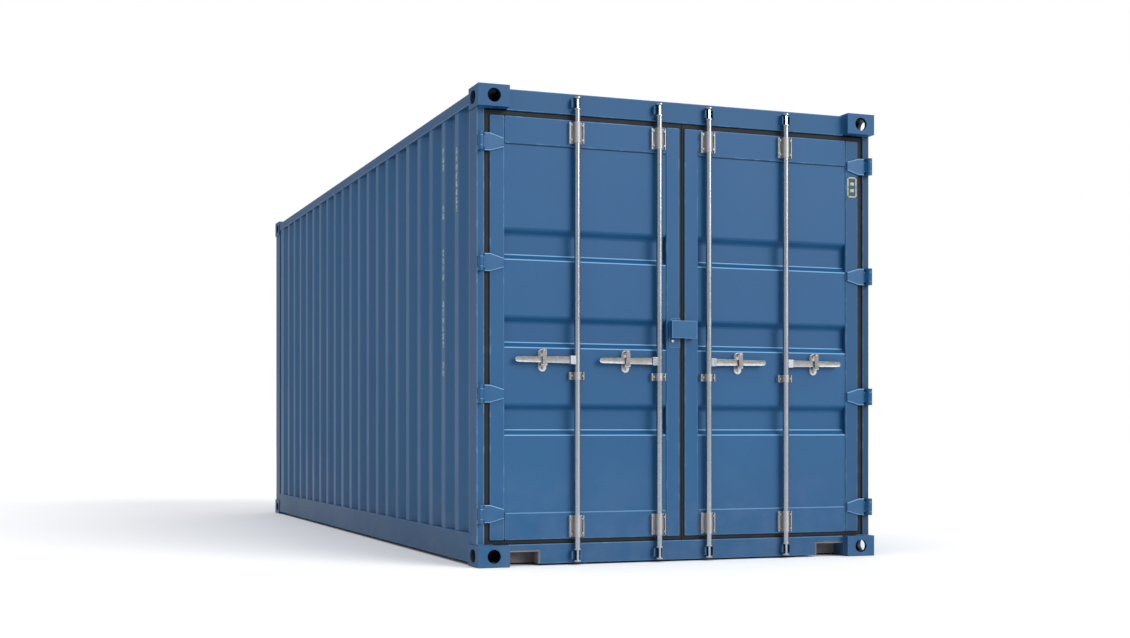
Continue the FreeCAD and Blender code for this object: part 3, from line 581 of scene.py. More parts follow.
def edge_wear_and_highlight_group():
    """Lighter coat along the rounded edges that the modelling marks: worn specks, and a continuous
    lighter line that is a painted highlight.
    """
    group, into, out = new_group(
        "edge_wear_and_highlight",
        [
            ("Vector", "NodeSocketVector", None), ("Colour", COLOUR, (0.1, 0.2, 0.4, 1)),
            ("Worn colour", COLOUR, (0.4, 0.5, 0.6, 1)), ("Amount", NUMBER, 0.5),
            ("Scale", NUMBER, 14.0),
        ],
        [("Colour", COLOUR)],
    )
    mark = add(group, "ShaderNodeAttribute", attribute_name=EDGE_MASK)
    speck = add(group, "ShaderNodeTexNoise", Detail=5, Roughness=0.62)
    group.links.new(into.outputs["Vector"], speck.inputs["Vector"])
    group.links.new(into.outputs["Scale"], speck.inputs["Scale"])
    chosen = remap(group, speck.outputs["Fac"], 0.42, 0.66)
    # a mark above 1 paints a continuous highlight line along the edge
    highlight_share = arithmetic(group, "SUBTRACT", mark.outputs["Fac"], SPECKS)
    share = arithmetic(group, "MAXIMUM", chosen, highlight_share)
    present = arithmetic(group, "MINIMUM", mark.outputs["Fac"], 1.0)
    mask = times(group, times(group, present, share), into.outputs["Amount"])
    mixed = blended(group, mask, into.outputs["Colour"], into.outputs["Worn colour"])
    group.links.new(mixed, out.inputs["Colour"])


def weather_group():
    """Slow colour drift, rain runs and dust that lies near the ground."""
    group, into, out = new_group(
        "weather",
        [
            ("Vector", "NodeSocketVector", None), ("Colour", COLOUR, (0.1, 0.2, 0.4, 1)),
            ("Faded colour", COLOUR, (0.2, 0.3, 0.5, 1)), ("Dust colour", COLOUR, (0.3, 0.28, 0.25, 1)),
            ("Fade", NUMBER, 0.5), ("Runs", NUMBER, 0.2), ("Dust", NUMBER, 0.2),
        ],
        [("Colour", COLOUR), ("Roughness", NUMBER)],
    )
    place = into.outputs["Vector"]
    drift = remap(group, noise(group, place, 0.9, 4.0), 0.35, 0.7)
    fade = times(group, drift, into.outputs["Fade"])
    colour = blended(group, fade, into.outputs["Colour"], into.outputs["Faded colour"])
    runs = noise(group, stretch(group, place, (9.0, 9.0, 0.35)), 1.0, 4.0)
    runs = times(group, remap(group, runs, 0.55, 0.75), into.outputs["Runs"])
    colour = blended(group, runs, colour, into.outputs["Faded colour"])
    height = add(group, "ShaderNodeSeparateXYZ")
    group.links.new(place, height.inputs[0])
    dust_line = 0.7
    low = remap(group, height.outputs["Z"], 0.0, dust_line, 1.0, 0.0)
    grit = remap(group, noise(group, place, 6.0, 6.0, 0.65), 0.3, 0.8)
    dust = times(group, times(group, low, grit), into.outputs["Dust"])
    colour = blended(group, dust, colour, into.outputs["Dust colour"])
    rough = plus(group, times(group, drift, 0.10), times(group, dust, 0.4))
    group.links.new(colour, out.inputs["Colour"])
    group.links.new(rough, out.inputs["Roughness"])


def surface_group():
    """Height of a coat: long soft waves of the sheet and a fine orange-peel."""
    group, into, out = new_group(
        "surface_height",
        [("Vector", "NodeSocketVector", None), ("Wave", NUMBER, 0.3), ("Grain", NUMBER, 0.1),
         ("Grain scale", NUMBER, 160.0)],
        [("Height", NUMBER)],
    )
    place = into.outputs["Vector"]
    wave = times(group, noise(group, place, 3.2, 2.0), into.outputs["Wave"])
    grain = add(group, "ShaderNodeTexNoise", Detail=3)
    group.links.new(place, grain.inputs["Vector"])
    group.links.new(into.outputs["Grain scale"], grain.inputs["Scale"])
    fine = times(group, grain.outputs["Fac"], into.outputs["Grain"])
    group.links.new(plus(group, wave, fine), out.inputs["Height"])


def use_group(tree, name, **values):
    """One of the shader groups with its own values."""
    node = tree.nodes.new("ShaderNodeGroup")
    node.node_tree = bpy.data.node_groups[name]
    for key, value in values.items():
        socket = node.inputs[key.replace("_", " ")]
        if isinstance(value, bpy.types.NodeSocket):
            tree.links.new(value, socket)
        elif isinstance(value, (int, float)):
            socket.default_value = value
        else:
            socket.default_value = (*value[:3], 1)
    return node


def new_finish(name):
    """An empty material: its tree, object coordinates and shader."""
    made = bpy.data.materials.new(name)
    made.use_nodes = True
    tree = made.node_tree
    shader = tree.nodes["Principled BSDF"]
    where = tree.nodes.new("ShaderNodeTexCoord").outputs["Object"]
    return made, tree, where, shader


def bump_from(tree, shader, height, strength, distance):
    bump = add(tree, "ShaderNodeBump", Strength=strength, Distance=distance)
    tree.links.new(height, bump.inputs["Height"])
    tree.links.new(bump.outputs["Normal"], shader.inputs["Normal"])


def mix_colours(first, second, amount):
    return tuple(a + (b - a) * amount for a, b in zip(first, second))


def paint_finish(name, base, faded, wear_and_highlight, rough=0.42, fade=0.35, dust=0.10, wave=0.35, grain=0.05,
                 worn_and_highlit_edge=None, painted_corner_shade=0.0, hollow_shade=False):
    """Coat of satin paint on steel."""
    made, tree, where, shader = new_finish(name)
    weather = use_group(
        tree, "weather", Vector=where, Colour=base, Faded_colour=faded,
        Dust_colour=(0.30, 0.29, 0.28), Fade=fade, Runs=0.10, Dust=dust,
    )
    edges = use_group(
        tree, "edge_wear_and_highlight", Vector=where, Colour=weather.outputs["Colour"],
        Worn_colour=worn_and_highlit_edge or mix_colours(faded, (0.75, 0.80, 0.85), 0.35), Amount=wear_and_highlight,
    )
    coat = edges.outputs["Colour"]
    if painted_corner_shade:
        # painted shade: the coat darkens towards the right-hand corner, standing in for the shade there
        starts_at, full_at = 1.02, 1.06
        place = add(tree, "ShaderNodeSeparateXYZ")
        tree.links.new(where, place.inputs[0])
        corner_shade_share = remap(tree, place.outputs["Y"], starts_at, full_at, 0.0, painted_corner_shade)
        coat = blended(tree, corner_shade_share, coat, mix_colours(base, BLACK, 0.75))
    if hollow_shade:
        # painted shade: the faces inside the castings are darkened to near black, standing in for the
        # shade there
        inside = add(tree, "ShaderNodeAttribute", attribute_name=HOLLOW_SHADE_MASK)
        coat = blended(tree, inside.outputs["Fac"], coat, (0.002, 0.004, 0.010))
    tree.links.new(coat, shader.inputs["Base Color"])
    tree.links.new(plus(tree, weather.outputs["Roughness"], rough), shader.inputs["Roughness"])
    height = use_group(tree, "surface_height", Vector=where, Wave=wave, Grain=grain)
    bump_from(tree, shader, height.outputs["Height"], 0.35, 0.004)
    shader.inputs["Specular IOR Level"].default_value = 0.28
    return made


def zinc_finish(name, base, rough, metal, grain=0.12):
    """Hot-dip zinc with its crystals, dulled in patches."""
    made, tree, where, shader = new_finish(name)
    crystals = add(tree, "ShaderNodeTexVoronoi", Scale=90)
    tree.links.new(where, crystals.inputs["Vector"])
    grey = add(tree, "ShaderNodeSeparateColor")
    tree.links.new(crystals.outputs["Color"], grey.inputs[0])
    spangle = remap(tree, grey.outputs[0], 0.0, 1.0, 0.0, 0.35)
    dull = remap(tree, noise(tree, stretch(tree, where, (4.0, 4.0, 0.9)), 1.6, 5.0), 0.35, 0.7)
    bright = mix_colours(base, (0.9, 0.9, 0.9), 0.25)
    dark = mix_colours(base, (0.25, 0.25, 0.26), 0.35)
    colour = blended(tree, spangle, base, bright)
    colour = blended(tree, times(tree, dull, 0.45), colour, dark)
    edges = use_group(tree, "edge_wear_and_highlight", Vector=where, Colour=colour,
                      Worn_colour=(0.85, 0.85, 0.85), Amount=0.5, Scale=40.0)
    tree.links.new(edges.outputs["Colour"], shader.inputs["Base Color"])
    tree.links.new(plus(tree, times(tree, dull, 0.16), rough), shader.inputs["Roughness"])
    shader.inputs["Metallic"].default_value = metal
    height = use_group(tree, "surface_height", Vector=where, Wave=0.1, Grain=grain, Grain_scale=220.0)
    bump_from(tree, shader, height.outputs["Height"], 0.25, 0.0015)
    return made


def rubber_finish(name, base):
    """Matt rubber, a little chalky where it is pinched."""
    made, tree, where, shader = new_finish(name)
    chalk = remap(tree, noise(tree, where, 14.0, 5.0), 0.5, 0.85, 0.0, 0.22)
    colour = blended(tree, chalk, base, mix_colours(base, (0.3, 0.3, 0.3), 0.3))
    tree.links.new(colour, shader.inputs["Base Color"])
    tree.links.new(remap(tree, chalk, 0.0, 0.22, 0.66, 0.85), shader.inputs["Roughness"])
    shader.inputs["Specular IOR Level"].default_value = 0.25
    height = use_group(tree, "surface_height", Vector=where, Wave=0.2, Grain=0.3, Grain_scale=260.0)
    bump_from(tree, shader, height.outputs["Height"], 0.3, 0.001)
    return made


def veneer_finish(name, base):
    """Plywood boards with grain along the floor, sanded and scuffed."""
    made, tree, where, shader = new_finish(name)
    grain = noise(tree, stretch(tree, where, (1.6, 34.0, 34.0)), 1.0, 7.0, 0.7)
    dark, light = mix_colours(base, BLACK, 0.35), mix_colours(base, (0.8, 0.6, 0.4), 0.22)
    colour = blended(tree, remap(tree, grain, 0.35, 0.68), dark, light)
    # boards with a dark joint between them
    board = add(
        tree, "ShaderNodeTexBrick", Color1=(0.85, 0.85, 0.85, 1), Color2=(1.0, 1.0, 1.0, 1),
        Mortar=(0.10, 0.09, 0.08, 1), Scale=1, Mortar_Size=0.003, Brick_Width=2.42, Row_Height=0.583,
    )
    tree.links.new(where, board.inputs["Vector"])
    product = add(tree, "ShaderNodeMix", data_type="RGBA", blend_type="MULTIPLY")
    product.inputs[0].default_value = 1
    tree.links.new(colour, product.inputs[6])
    tree.links.new(board.outputs["Color"], product.inputs[7])
    scuff = remap(tree, noise(tree, where, 3.0, 6.0, 0.7), 0.5, 0.8, 0.0, 0.5)
    colour = blended(tree, scuff, product.outputs[2], (0.24, 0.21, 0.18))
    tree.links.new(colour, shader.inputs["Base Color"])
    tree.links.new(remap(tree, scuff, 0.0, 0.5, 0.5, 0.75), shader.inputs["Roughness"])
    bump_from(tree, shader, grain, 0.25, 0.001)
    return made


def marking_finish(name, base, coat, chip_low=0.42, chip_high=0.68):
    """Thin faded marking paint that lets the coat below show through."""
    made, tree, where, shader = new_finish(name)
    chips = remap(tree, noise(tree, where, 60.0, 6.0, 0.7), chip_low, chip_high)
    colour = blended(tree, chips, base, coat)
    tree.links.new(colour, shader.inputs["Base Color"])
    tree.links.new(remap(tree, chips, 0.0, 1.0, 0.55, 0.42), shader.inputs["Roughness"])
    return made


def build_finishes():
    """Every finish once, by plain name."""
    edge_wear_and_highlight_group()
    weather_group()
    surface_group()
    c = colours()
    paint, faded, zinc = tuple(c.paint), tuple(c.paint_faded), tuple(c.zinc)
    worn_and_highlit_edge = tuple(c.worn_and_highlit_edge_colour)
    dark_grey, steel_grey = (0.05, 0.05, 0.05), (0.5, 0.5, 0.52)

    def shaded(share):
        return mix_colours(paint, BLACK, share)

    def tinted(tint, share):
        return mix_colours(zinc, tint, share)

    satin = {"rough": 0.46, "worn_and_highlit_edge": worn_and_highlit_edge}
    cast = {"wear_and_highlight": 0.45, "wave": 0.3, "grain": 0.30}
    return {
        # the door coat darkens a little at the right-hand corner, painted shade
        "door": paint_finish("door_paint", paint, faded, fade=0.3, wear_and_highlight=0.30, painted_corner_shade=0.2, **satin),
        "panel": paint_finish("panel_paint", paint, faded, fade=0.5, wear_and_highlight=0.7, **satin),
        "frame": paint_finish("frame_paint", shaded(0.08), faded, fade=0.25, wear_and_highlight=0.3, **satin),
        # the post coat darkens at the right-hand corner, painted shade
        "post": paint_finish("post_paint", shaded(0.08), faded, fade=0.25, wear_and_highlight=0.5, painted_corner_shade=0.5, **satin),
        "casting": paint_finish("casting_paint", shaded(0.12), faded, **cast, **satin),
        # the fittings' insides are darkened, painted shade
        "fitting": paint_finish("fitting_paint", shaded(0.05), faded, hollow_shade=True, **cast, **satin),
        # the walls' lighter, greyer coat is painted light from the sky on their flats
        "wall": paint_finish("lit_wall_paint", tuple(c.lit_wall_paint), faded, fade=0.4, wear_and_highlight=0.0),
        # painted sheen: the forgings take a lighter copy of the paint, half way to the faded coat, for
        # the light their faces catch
        "forging": paint_finish(
            "forging_paint", mix_colours(paint, faded, 0.5), faded, rough=0.30, fade=0.2, wear_and_highlight=0.6,
            worn_and_highlit_edge=worn_and_highlit_edge,
        ),
        "roof": paint_finish(
            "roof_paint", paint, mix_colours(faded, (0.4, 0.45, 0.5), 0.15), fade=0.5, rough=0.5,
            wear_and_highlight=0.0,
        ),
        "underside": paint_finish(
            "underside_coat", tuple(c.underside), dark_grey, rough=0.6, dust=0.5, wear_and_highlight=0.2,
        ),
        "recess": paint_finish(
            "recess_coat", (0.105, 0.098, 0.105), (0.15, 0.14, 0.145), rough=0.6, dust=0.6, wear_and_highlight=0.0,
        ),
        # coat of the dark strip under the door's top rail, a painted shadow
        "painted_shadow": rubber_finish("painted_shadow_line", shaded(0.75)),
        # the bars' zinc is tinted blue, a painted reflection of the blue doors around them
        "zinc": zinc_finish("bar_zinc", tinted((0.42, 0.53, 0.66), 0.3), 0.17, 1.0, grain=0.03),
        "bracket_zinc": zinc_finish("bracket_zinc", tinted(steel_grey, 0.3), 0.38, 0.75),
        "catch_zinc": zinc_finish("catch_zinc", tinted((0.05, 0.04, 0.035), 0.6), 0.42, 0.7),
        "handle_zinc": zinc_finish("handle_zinc", tinted((0.06, 0.055, 0.055), 0.5), 0.36, 0.8),
        "rubber": rubber_finish("seal_rubber", tuple(c.rubber)),
        "veneer": veneer_finish("floor_veneer", tuple(c.veneer)),
        "marking": marking_finish("marking_paint", tuple(c.marking), paint),
        "old_marking": marking_finish(
            "old_marking_paint", tuple(c.old_marking), tuple(c.lit_wall_paint), 0.36, 0.60,
        ),
    }


# filled by main, once the settings are registered
FINISHES = {}


# ------------------------------------------------------------------ pieces

class CONTAINER_OT_corner_fittings(bpy.types.Operator):
    """Cast corner fittings with rounded apertures"""

    bl_idname = "container.corner_fittings"
    bl_label = "Corner fittings"

    def execute(self, context):
        for level in LEVELS:
            node = f"{level}_corner_fittings"
            piece = traced(f"{level}_castings", node)
            # the share above SPECKS adds a faint continuous lighter line along the edges, a painted
            # highlight, besides worn specks
            round_edges(piece, sizes().casting_round, 3, mark=SPECKS + 0.7)
            self.mark_hollow_shade(piece, solids_of(node))
            finished(piece, FRAME, "fitting", "blue_paint", node)
        return {"FINISHED"}

    @staticmethod
    def mark_hollow_shade(piece, boxes):
        """Mark the faces inside the castings, where the finish paints shade."""
        mesh = piece.data
        mask = mesh.attributes.new(HOLLOW_SHADE_MASK, "FLOAT", "FACE")
        starts_at, fades_over = 0.006, 0.004
        for face in mesh.polygons:
            spot = face.center
            for low, high in boxes:
                if all(low[i] - MM < spot[i] < high[i] + MM for i in range(3)):
                    depth = min(min(spot[i] - low[i], high[i] - spot[i]) for i in range(3))
                    mask.data[face.index].value = min(1.0, max(0.0, (depth - starts_at) / fades_over))


class CONTAINER_OT_frame_members(bpy.types.Operator):
    """Posts, rails, header, sill and the linings of its recesses"""

    bl_idname = "container.frame_members"
    bl_label = "Frame members"

    @staticmethod
    def beside_seal(edge):
        """The post's outer edge next to the door, on either side."""
        high = solids_of("rear_corner_posts")[0][1]
        return all(v.co.x > high.x - MM and abs(v.co.y) < -high.y + MM for v in edge.verts)

    def execute(self, context):
        round_by = sizes().section_round
        posts = "rear_corner_posts"
        piece = traced(f"{posts}_steel", posts)
        # the edge beside the seal gets a lighter line along its whole length, a painted highlight
        round_edges(piece, sizes().post_round, 4, wanted=self.beside_seal, mark=HIGHLIGHT_LINE)
        # the share above SPECKS adds a faint continuous lighter line along the edges, a painted
        # highlight, besides worn specks
        round_edges(piece, round_by, 3, sharper_than=60, mark=SPECKS + 0.5)
        finished(piece, FRAME, "post", "blue_paint", posts)
        for node in (
            "front_corner_posts", "top_side_rails", "bottom_side_rails",
            "front_top_rail", "front_bottom_rail", "door_header", "door_sill",
        ):
            # the share above SPECKS adds a faint continuous lighter line along the edges, a painted
            # highlight, besides worn specks
            reworked(
                node, f"{node}_steel", FRAME, "frame", "blue_paint", round_by, segments=3,
                mark=SPECKS + 0.5,
            )
        reworked(
            "sill_recess_linings", "sill_recess_steel", FRAME, "recess", "blue_paint",
            sizes().forging_round,
        )
        return {"FINISHED"}


class CONTAINER_OT_sheet_walls(bpy.types.Operator):
    """Corrugated walls and roof with rounded bends"""

    bl_idname = "container.sheet_walls"
    bl_label = "Walls and roof"

    def execute(self, context):
        wall_bend, wide_bend = sizes().sheet_bend, sizes().groove_bend
        for node, coat, bend in (
            ("left_side_wall", "wall", wall_bend), ("right_side_wall", "wall", wall_bend),
            ("front_wall", "wall", wide_bend), ("roof_panel", "roof", wide_bend),
        ):
            reworked(
                node, f"{node}_sheet", FRAME, coat, "blue_paint", bend, segments=3,
                sharper_than=15, blunter_than=80,
            )
        return {"FINISHED"}


class CONTAINER_OT_floor(bpy.types.Operator):
    """Plywood floor on its cross members, and the plate at the roof's front"""

    bl_idname = "container.floor"
    bl_label = "Floor"

    def execute(self, context):
        reworked(
            "plywood_floor", "floor_boards", FRAME, "veneer", "floor_plywood", BOARD_ROUND, segments=1,
        )
        piece = traced("floor_channels", "floor_cross_members")
        finished(piece, FRAME, "underside", "dark_paint", "floor_cross_members")
        piece = traced("roof_front_sheet", "roof_front_plate")
        finished(piece, FRAME, "roof", "blue_paint", "roof_front_plate")
        return {"FINISHED"}


class CONTAINER_OT_door_leaves(bpy.types.Operator):
    """Stiles, rails and pressed panels of both doors"""

    bl_idname = "container.door_leaves"
    bl_label = "Door leaves"

    @staticmethod
    def foot_rail_top(edge):
        """The outer top edge of the foot rail, which gets a painted highlight line."""
        high = solids_of("left_door_rails")[0][1]
        return all(v.co.x > high.x - MM and abs(v.co.z - high.z) < MM for v in edge.verts)

    @staticmethod
    def looks_up(edge):
        """An edge of the slope at the foot of a groove."""
        return any(face.normal.x > 0.15 and face.normal.z > 0.25 for face in edge.link_faces)

    @staticmethod
    def painted_shadow(side):
        """A dark strip between the panel and the top rail, with a little lap all round: painted shadow
        under the rail.
        """
        low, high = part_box(f"{side}_door_panel")
        lap, stands_out = 0.002, 0.0008
        strip = block(
            f"{side}_panel_painted_shadow", (high.x - MM, low.y + lap, high.z - sizes().shadow_line_width),
            (high.x + stands_out, high.y - lap, high.z),
        )
        round_edges(strip, 0.0007, sharper_than=60, mark=NO_WEAR)
        finished(strip, f"{side}_door", "painted_shadow", "black_rubber")

    def execute(self, context):
        stile_round = sizes().stile_round
        for side in SIDES:
            body = f"{side}_door"
            for part in ("stiles", "rails"):
                node = f"{side}_door_{part}"
                piece = traced(f"{node}_steel", node)
                if part == "rails":
                    # a lighter line along the foot rail's top edge, a painted highlight
                    round_edges(piece, stile_round, 4, wanted=self.foot_rail_top, mark=HIGHLIGHT_LINE)
                # the share above SPECKS adds a faint continuous lighter line along the edges, a painted
                # highlight, besides worn specks
                round_edges(piece, stile_round, 4, sharper_than=60, mark=SPECKS + 0.4)
                finished(piece, body, "door", "blue_paint", node)
            node = f"{side}_door_panel"
            piece = traced(f"{node}_sheet", node)
            round_edges(
                piece, sizes().groove_bend, 3, sharper_than=15, blunter_than=80,
                wanted=lambda edge: not self.looks_up(edge), mark=NO_WEAR,
            )
            # the bends at the foot of each groove get a lighter line, a painted highlight
            round_edges(
                piece, sizes().groove_line, 3, sharper_than=26, blunter_than=80,
                wanted=self.looks_up, mark=HIGHLIGHT_LINE,
            )
            finished(piece, body, "panel", "blue_paint", node)
            self.painted_shadow(side)
        return {"FINISHED"}


class CONTAINER_OT_door_seals(bpy.types.Operator):
    """Rubber seals round both doors"""

    bl_idname = "container.door_seals"
    bl_label = "Door seals"

    def execute(self, context):
        for side in SIDES:
            reworked(
                f"{side}_door_gasket", f"{side}_door_seal", f"{side}_door", "rubber", "black_rubber",
                SEAL_ROUND, segments=3,
            )
        return {"FINISHED"}


class CONTAINER_OT_hinges(bpy.types.Operator):
    """Hinge lugs with their pins, and the forged blades"""

    bl_idname = "container.hinges"
    bl_label = "Hinges"

    @staticmethod
    def keep_lines_level(piece):
        """Leave the painted highlight lines on the edges above and below, and clear them from the tips.
        """
        mask = piece.data.attributes[EDGE_MASK]
        least_slope = 0.12
        for face in piece.data.polygons:
            if abs(face.normal.z) < least_slope:
                mask.data[face.index].value = NO_WEAR

    @staticmethod
    def front_outline(edge):
        """The edges round the flat front of a blade."""
        slants = [abs(face.normal.x) for face in edge.link_faces]
        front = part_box("left_hinge_blades")[0].x + 0.011
        return max(slants) > 0.9 and min(slants) < 0.3 and min(v.co.x for v in edge.verts) > front

    def execute(self, context):
        small_round = sizes().forging_round
        reworked(
            "hinge_lugs", "hinge_lug_forgings", FRAME, "forging", "blue_paint", small_round,
            sharper_than=50,
        )
        for side in SIDES:
            node = f"{side}_hinge_blades"
            piece = traced(f"{side}_hinge_forgings", node)
            # the blades' outline gets lighter lines, a painted highlight
            round_edges(
                piece, sizes().blade_round, 4, sharper_than=60, wanted=self.front_outline,
                mark=HIGHLIGHT_LINE, clamp=False,
            )
            self.keep_lines_level(piece)
            round_edges(piece, small_round, sharper_than=60)
            finished(piece, f"{side}_door", "forging", "blue_paint", node)
        return {"FINISHED"}


class CONTAINER_OT_locking_bars(bpy.types.Operator):
    """Four locking bars with cams, collars and hubs"""

    bl_idname = "container.locking_bars"
    bl_label = "Locking bars"

    def execute(self, context):
        for number in range(1, 5):
            node = f"locking_bar_{number}"
            reworked(
                node, f"{node}_steel", f"bar_{number}", "zinc", "galvanised_steel",
                sizes().forging_round, sharper_than=50,
            )
        return {"FINISHED"}


class CONTAINER_OT_bar_brackets(bpy.types.Operator):
    """Brackets that hold the bars, with their bolts, and the handle retainers"""

    bl_idname = "container.bar_brackets"
    bl_label = "Bar brackets"

    @staticmethod
    def bolts(side):
        """Two bolts on a low bracket and four on a tall one."""
        inset, height = sizes().bolt_inset, sizes().bolt_height
        radius, side_inset = sizes().bolt_radius * 0.7, inset * 0.55
        node = f"{side}_bar_brackets"
        heads = []
        for low, high in solids_of(node):
            level = lip_level(node, low, high)
            tall = high.z - low.z > TALL_BRACKET
            rows = (low.z + inset, high.z - inset) if tall else ((low.z + high.z) / 2,)
            for y in (low.y + side_inset, high.y - side_inset):
                for z in rows:
                    heads.append(bolt_head(f"{side}_bolt_{len(heads)}", (level, y, z), radius, height))
        return joined(f"{side}_bracket_bolts", heads)

    @staticmethod
    def rivets(side):
        """One rivet near each end of a handle's retainer."""
        inset = sizes().bolt_inset
        node = f"{side}_handle_retainers"
        heads = []
        for low, high in solids_of(node):
            level = lip_level(node, low, high)
            for z in (low.z + inset, high.z - inset):
                spot = (level, (low.y + high.y) / 2, z)
                heads.append(dome(f"{side}_rivet_{len(heads)}", spot, radius=0.006, height=0.003))
        return joined(f"{side}_retainer_rivets", heads)

    def execute(self, context):
        for side in SIDES:
            body = f"{side}_door"
            for part in ("bar_brackets", "handle_retainers"):
                node = f"{side}_{part}"
                reworked(
                    node, f"{node}_steel", body, "bracket_zinc", "galvanised_steel",
                    sizes().forging_round * 0.6, sharper_than=50,
                )
            finished(self.bolts(side), body, "handle_zinc", "galvanised_steel")
            finished(self.rivets(side), body, "handle_zinc", "galvanised_steel")
        return {"FINISHED"}


class CONTAINER_OT_handles(bpy.types.Operator):
    """Handles and the catches that hold them"""

    bl_idname = "container.handles"
    bl_label = "Handles and catches"

    def execute(self, context):
        for number in range(1, 5):
            for part, body in (("bar_handle", "handle"), ("handle_catch", "catch")):
                node = f"{part}_{number}"
                piece = traced(f"{node}_steel", node)
                if body == "handle":
                    sunk_face(piece, border=0.008, depth=0.0022)
                round_edges(piece, sizes().forging_round, sharper_than=50)
                finished(piece, f"{body}_{number}", f"{body}_zinc", "galvanised_steel", node)
        return {"FINISHED"}


class CONTAINER_OT_lock_box(bpy.types.Operator):
    """Lock box and the hasp plate behind it"""

    bl_idname = "container.lock_box"
    bl_label = "Lock box"

    def execute(self, context):
        for node, body, width in (
            ("right_lock_box", "right_door", LOCK_BOX_ROUND),
            ("left_lock_plate", "left_door", LOCK_PLATE_ROUND),
        ):
            # the lock box and plate get a lighter line along their edges, a painted highlight
            reworked(
                node, f"{node}_steel", body, "forging", "blue_paint", width, segments=3,
                sharper_than=50, mark=HIGHLIGHT_LINE,
            )
        # a stud stands on the plate, just under the box
        low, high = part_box("left_lock_plate")
        spot = (high.x, (low.y * 3 + high.y) / 4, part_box("right_lock_box")[0].z - 0.015)
        stud = bolt_head("lock_stud", spot, radius=0.008, height=0.008, sides=24)
        finished(stud, "left_door", "bracket_zinc", "galvanised_steel")
        return {"FINISHED"}


class CONTAINER_OT_welds(bpy.types.Operator):
    """Beads of weld where posts, sill and header meet the corner fittings"""

    bl_idname = "container.welds"
    bl_label = "Welds"
    # how far a bead ends before the corner
    short_by = 0.006

    def execute(self, context):
        seams = self.post_seams() + self.cross_member_seams()
        beads = [weld(f"bead_{i}", start, end, seed=i) for i, (start, end) in enumerate(seams)]
        finished(joined("corner_welds", beads), FRAME, "casting", "blue_paint")
        return {"FINISHED"}

    def post_seams(self):
        """Level seams at the head and foot of each rear post."""
        seams = []
        for low, high in solids_of("rear_corner_posts"):
            for z in (low.z, high.z):
                start, end = (high.x, low.y + self.short_by, z), (high.x, high.y - self.short_by, z)
                seams.append((Vector(start), Vector(end)))
        return seams

    def cross_member_seams(self):
        """Upright seams at both ends of the header and the sill."""
        seams = []
        for node, fitting in (
            ("door_header", "top_corner_fittings"), ("door_sill", "bottom_corner_fittings"),
        ):
            fitting_low, fitting_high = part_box(fitting)
            for low, high in solids_of(node):
                z_low = max(low.z, fitting_low.z) + self.short_by
                z_high = min(high.z, fitting_high.z) - self.short_by
                for y in (low.y, high.y):
                    seams.append((Vector((high.x, y, z_low)), Vector((high.x, y, z_high))))
        return seams


class CONTAINER_OT_markings(bpy.types.Operator):
    """Plain painted marks: a framed pair of bars on a stile, and dashes on the left wall"""

    bl_idname = "container.markings"
    bl_label = "Plain marks"

    def execute(self, context):
        self.stile_mark()
        self.wall_marks()
        return {"FINISHED"}

    @staticmethod
    def strip(name, low, high):
        """A painted strip with softened edges."""
        return round_edges(block(name, low, high), MARK_THICKNESS * 0.4, 1, sharper_than=60, mark=NO_WEAR)

    def stile_mark(self):
        """A frame with two bars in it, high on the right door's hinge stile."""
        low, high = solids_of("right_door_stiles")[-1]
        y_low, y_high = low.y + 0.013, high.y - 0.010
        z_low, z_high = high.z - 0.331, high.z - 0.213
        line = 0.007
        bar_inset, half_bar = 0.018, 0.009
        places = [
            ((y_low, z_low), (y_high, z_low + line)), ((y_low, z_high - line), (y_high, z_high)),
            ((y_low, z_low), (y_low + line, z_high)), ((y_high - line, z_low), (y_high, z_high)),
        ]
        third = (z_high - z_low) / 3
        for level in (1, 2):
            z = z_low + third * level
            places.append(((y_low + bar_inset, z - half_bar), (y_high - bar_inset, z + half_bar)))
        back, front = high.x - MARK_THICKNESS, high.x + MARK_THICKNESS
        strips = [
            self.strip(f"stile_mark_{index}", (back, *start), (front, *end))
            for index, (start, end) in enumerate(places)
        ]
        finished(joined("stile_mark", strips), "right_door", "marking", "blue_paint")

    def wall_marks(self):
        """Runs of equal dashes down two flats of the left wall."""
        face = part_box("left_side_wall")[0].y
        strips = []
        for (x_low, x_high), runs in zip(self.outer_flats(face), MARK_RUNS):
            inset = (x_high - x_low) * 0.3
            for run_top, run_foot in runs:
                top = run_top
                while top - DASH > run_foot:
                    strips.append(self.strip(
                        f"wall_mark_{len(strips)}",
                        (x_low + inset, face - MARK_THICKNESS, top - DASH),
                        (x_high - inset, face + MARK_THICKNESS, top),
                    ))
                    top -= DASH_PITCH
        finished(joined("wall_marks", strips), FRAME, "old_marking", "blue_paint")

    @staticmethod
    def outer_flats(level):
        """The two outermost flats of the left wall that are nearest the doors, past the first."""
        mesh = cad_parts["left_side_wall"].data
        spans = set()
        for face in mesh.polygons:
            corners = [mesh.vertices[i].co for i in face.vertices]
            if all(abs(corner.y - level) < MM for corner in corners):
                xs = [round(corner.x, 4) for corner in corners]
                spans.add((min(xs), max(xs)))
        return sorted(spans, reverse=True)[1:3]


class CONTAINER_OT_cam_keepers(bpy.types.Operator):
    """Keepers on the header and the sill"""

    bl_idname = "container.cam_keepers"
    bl_label = "Cam keepers"

    def execute(self, context):
        for level in LEVELS:
            node = f"{level}_cam_keepers"
            reworked(
                node, f"{node}_steel", FRAME, "casting", "blue_paint", KEEPER_ROUND, sharper_than=50,
            )
        return {"FINISHED"}


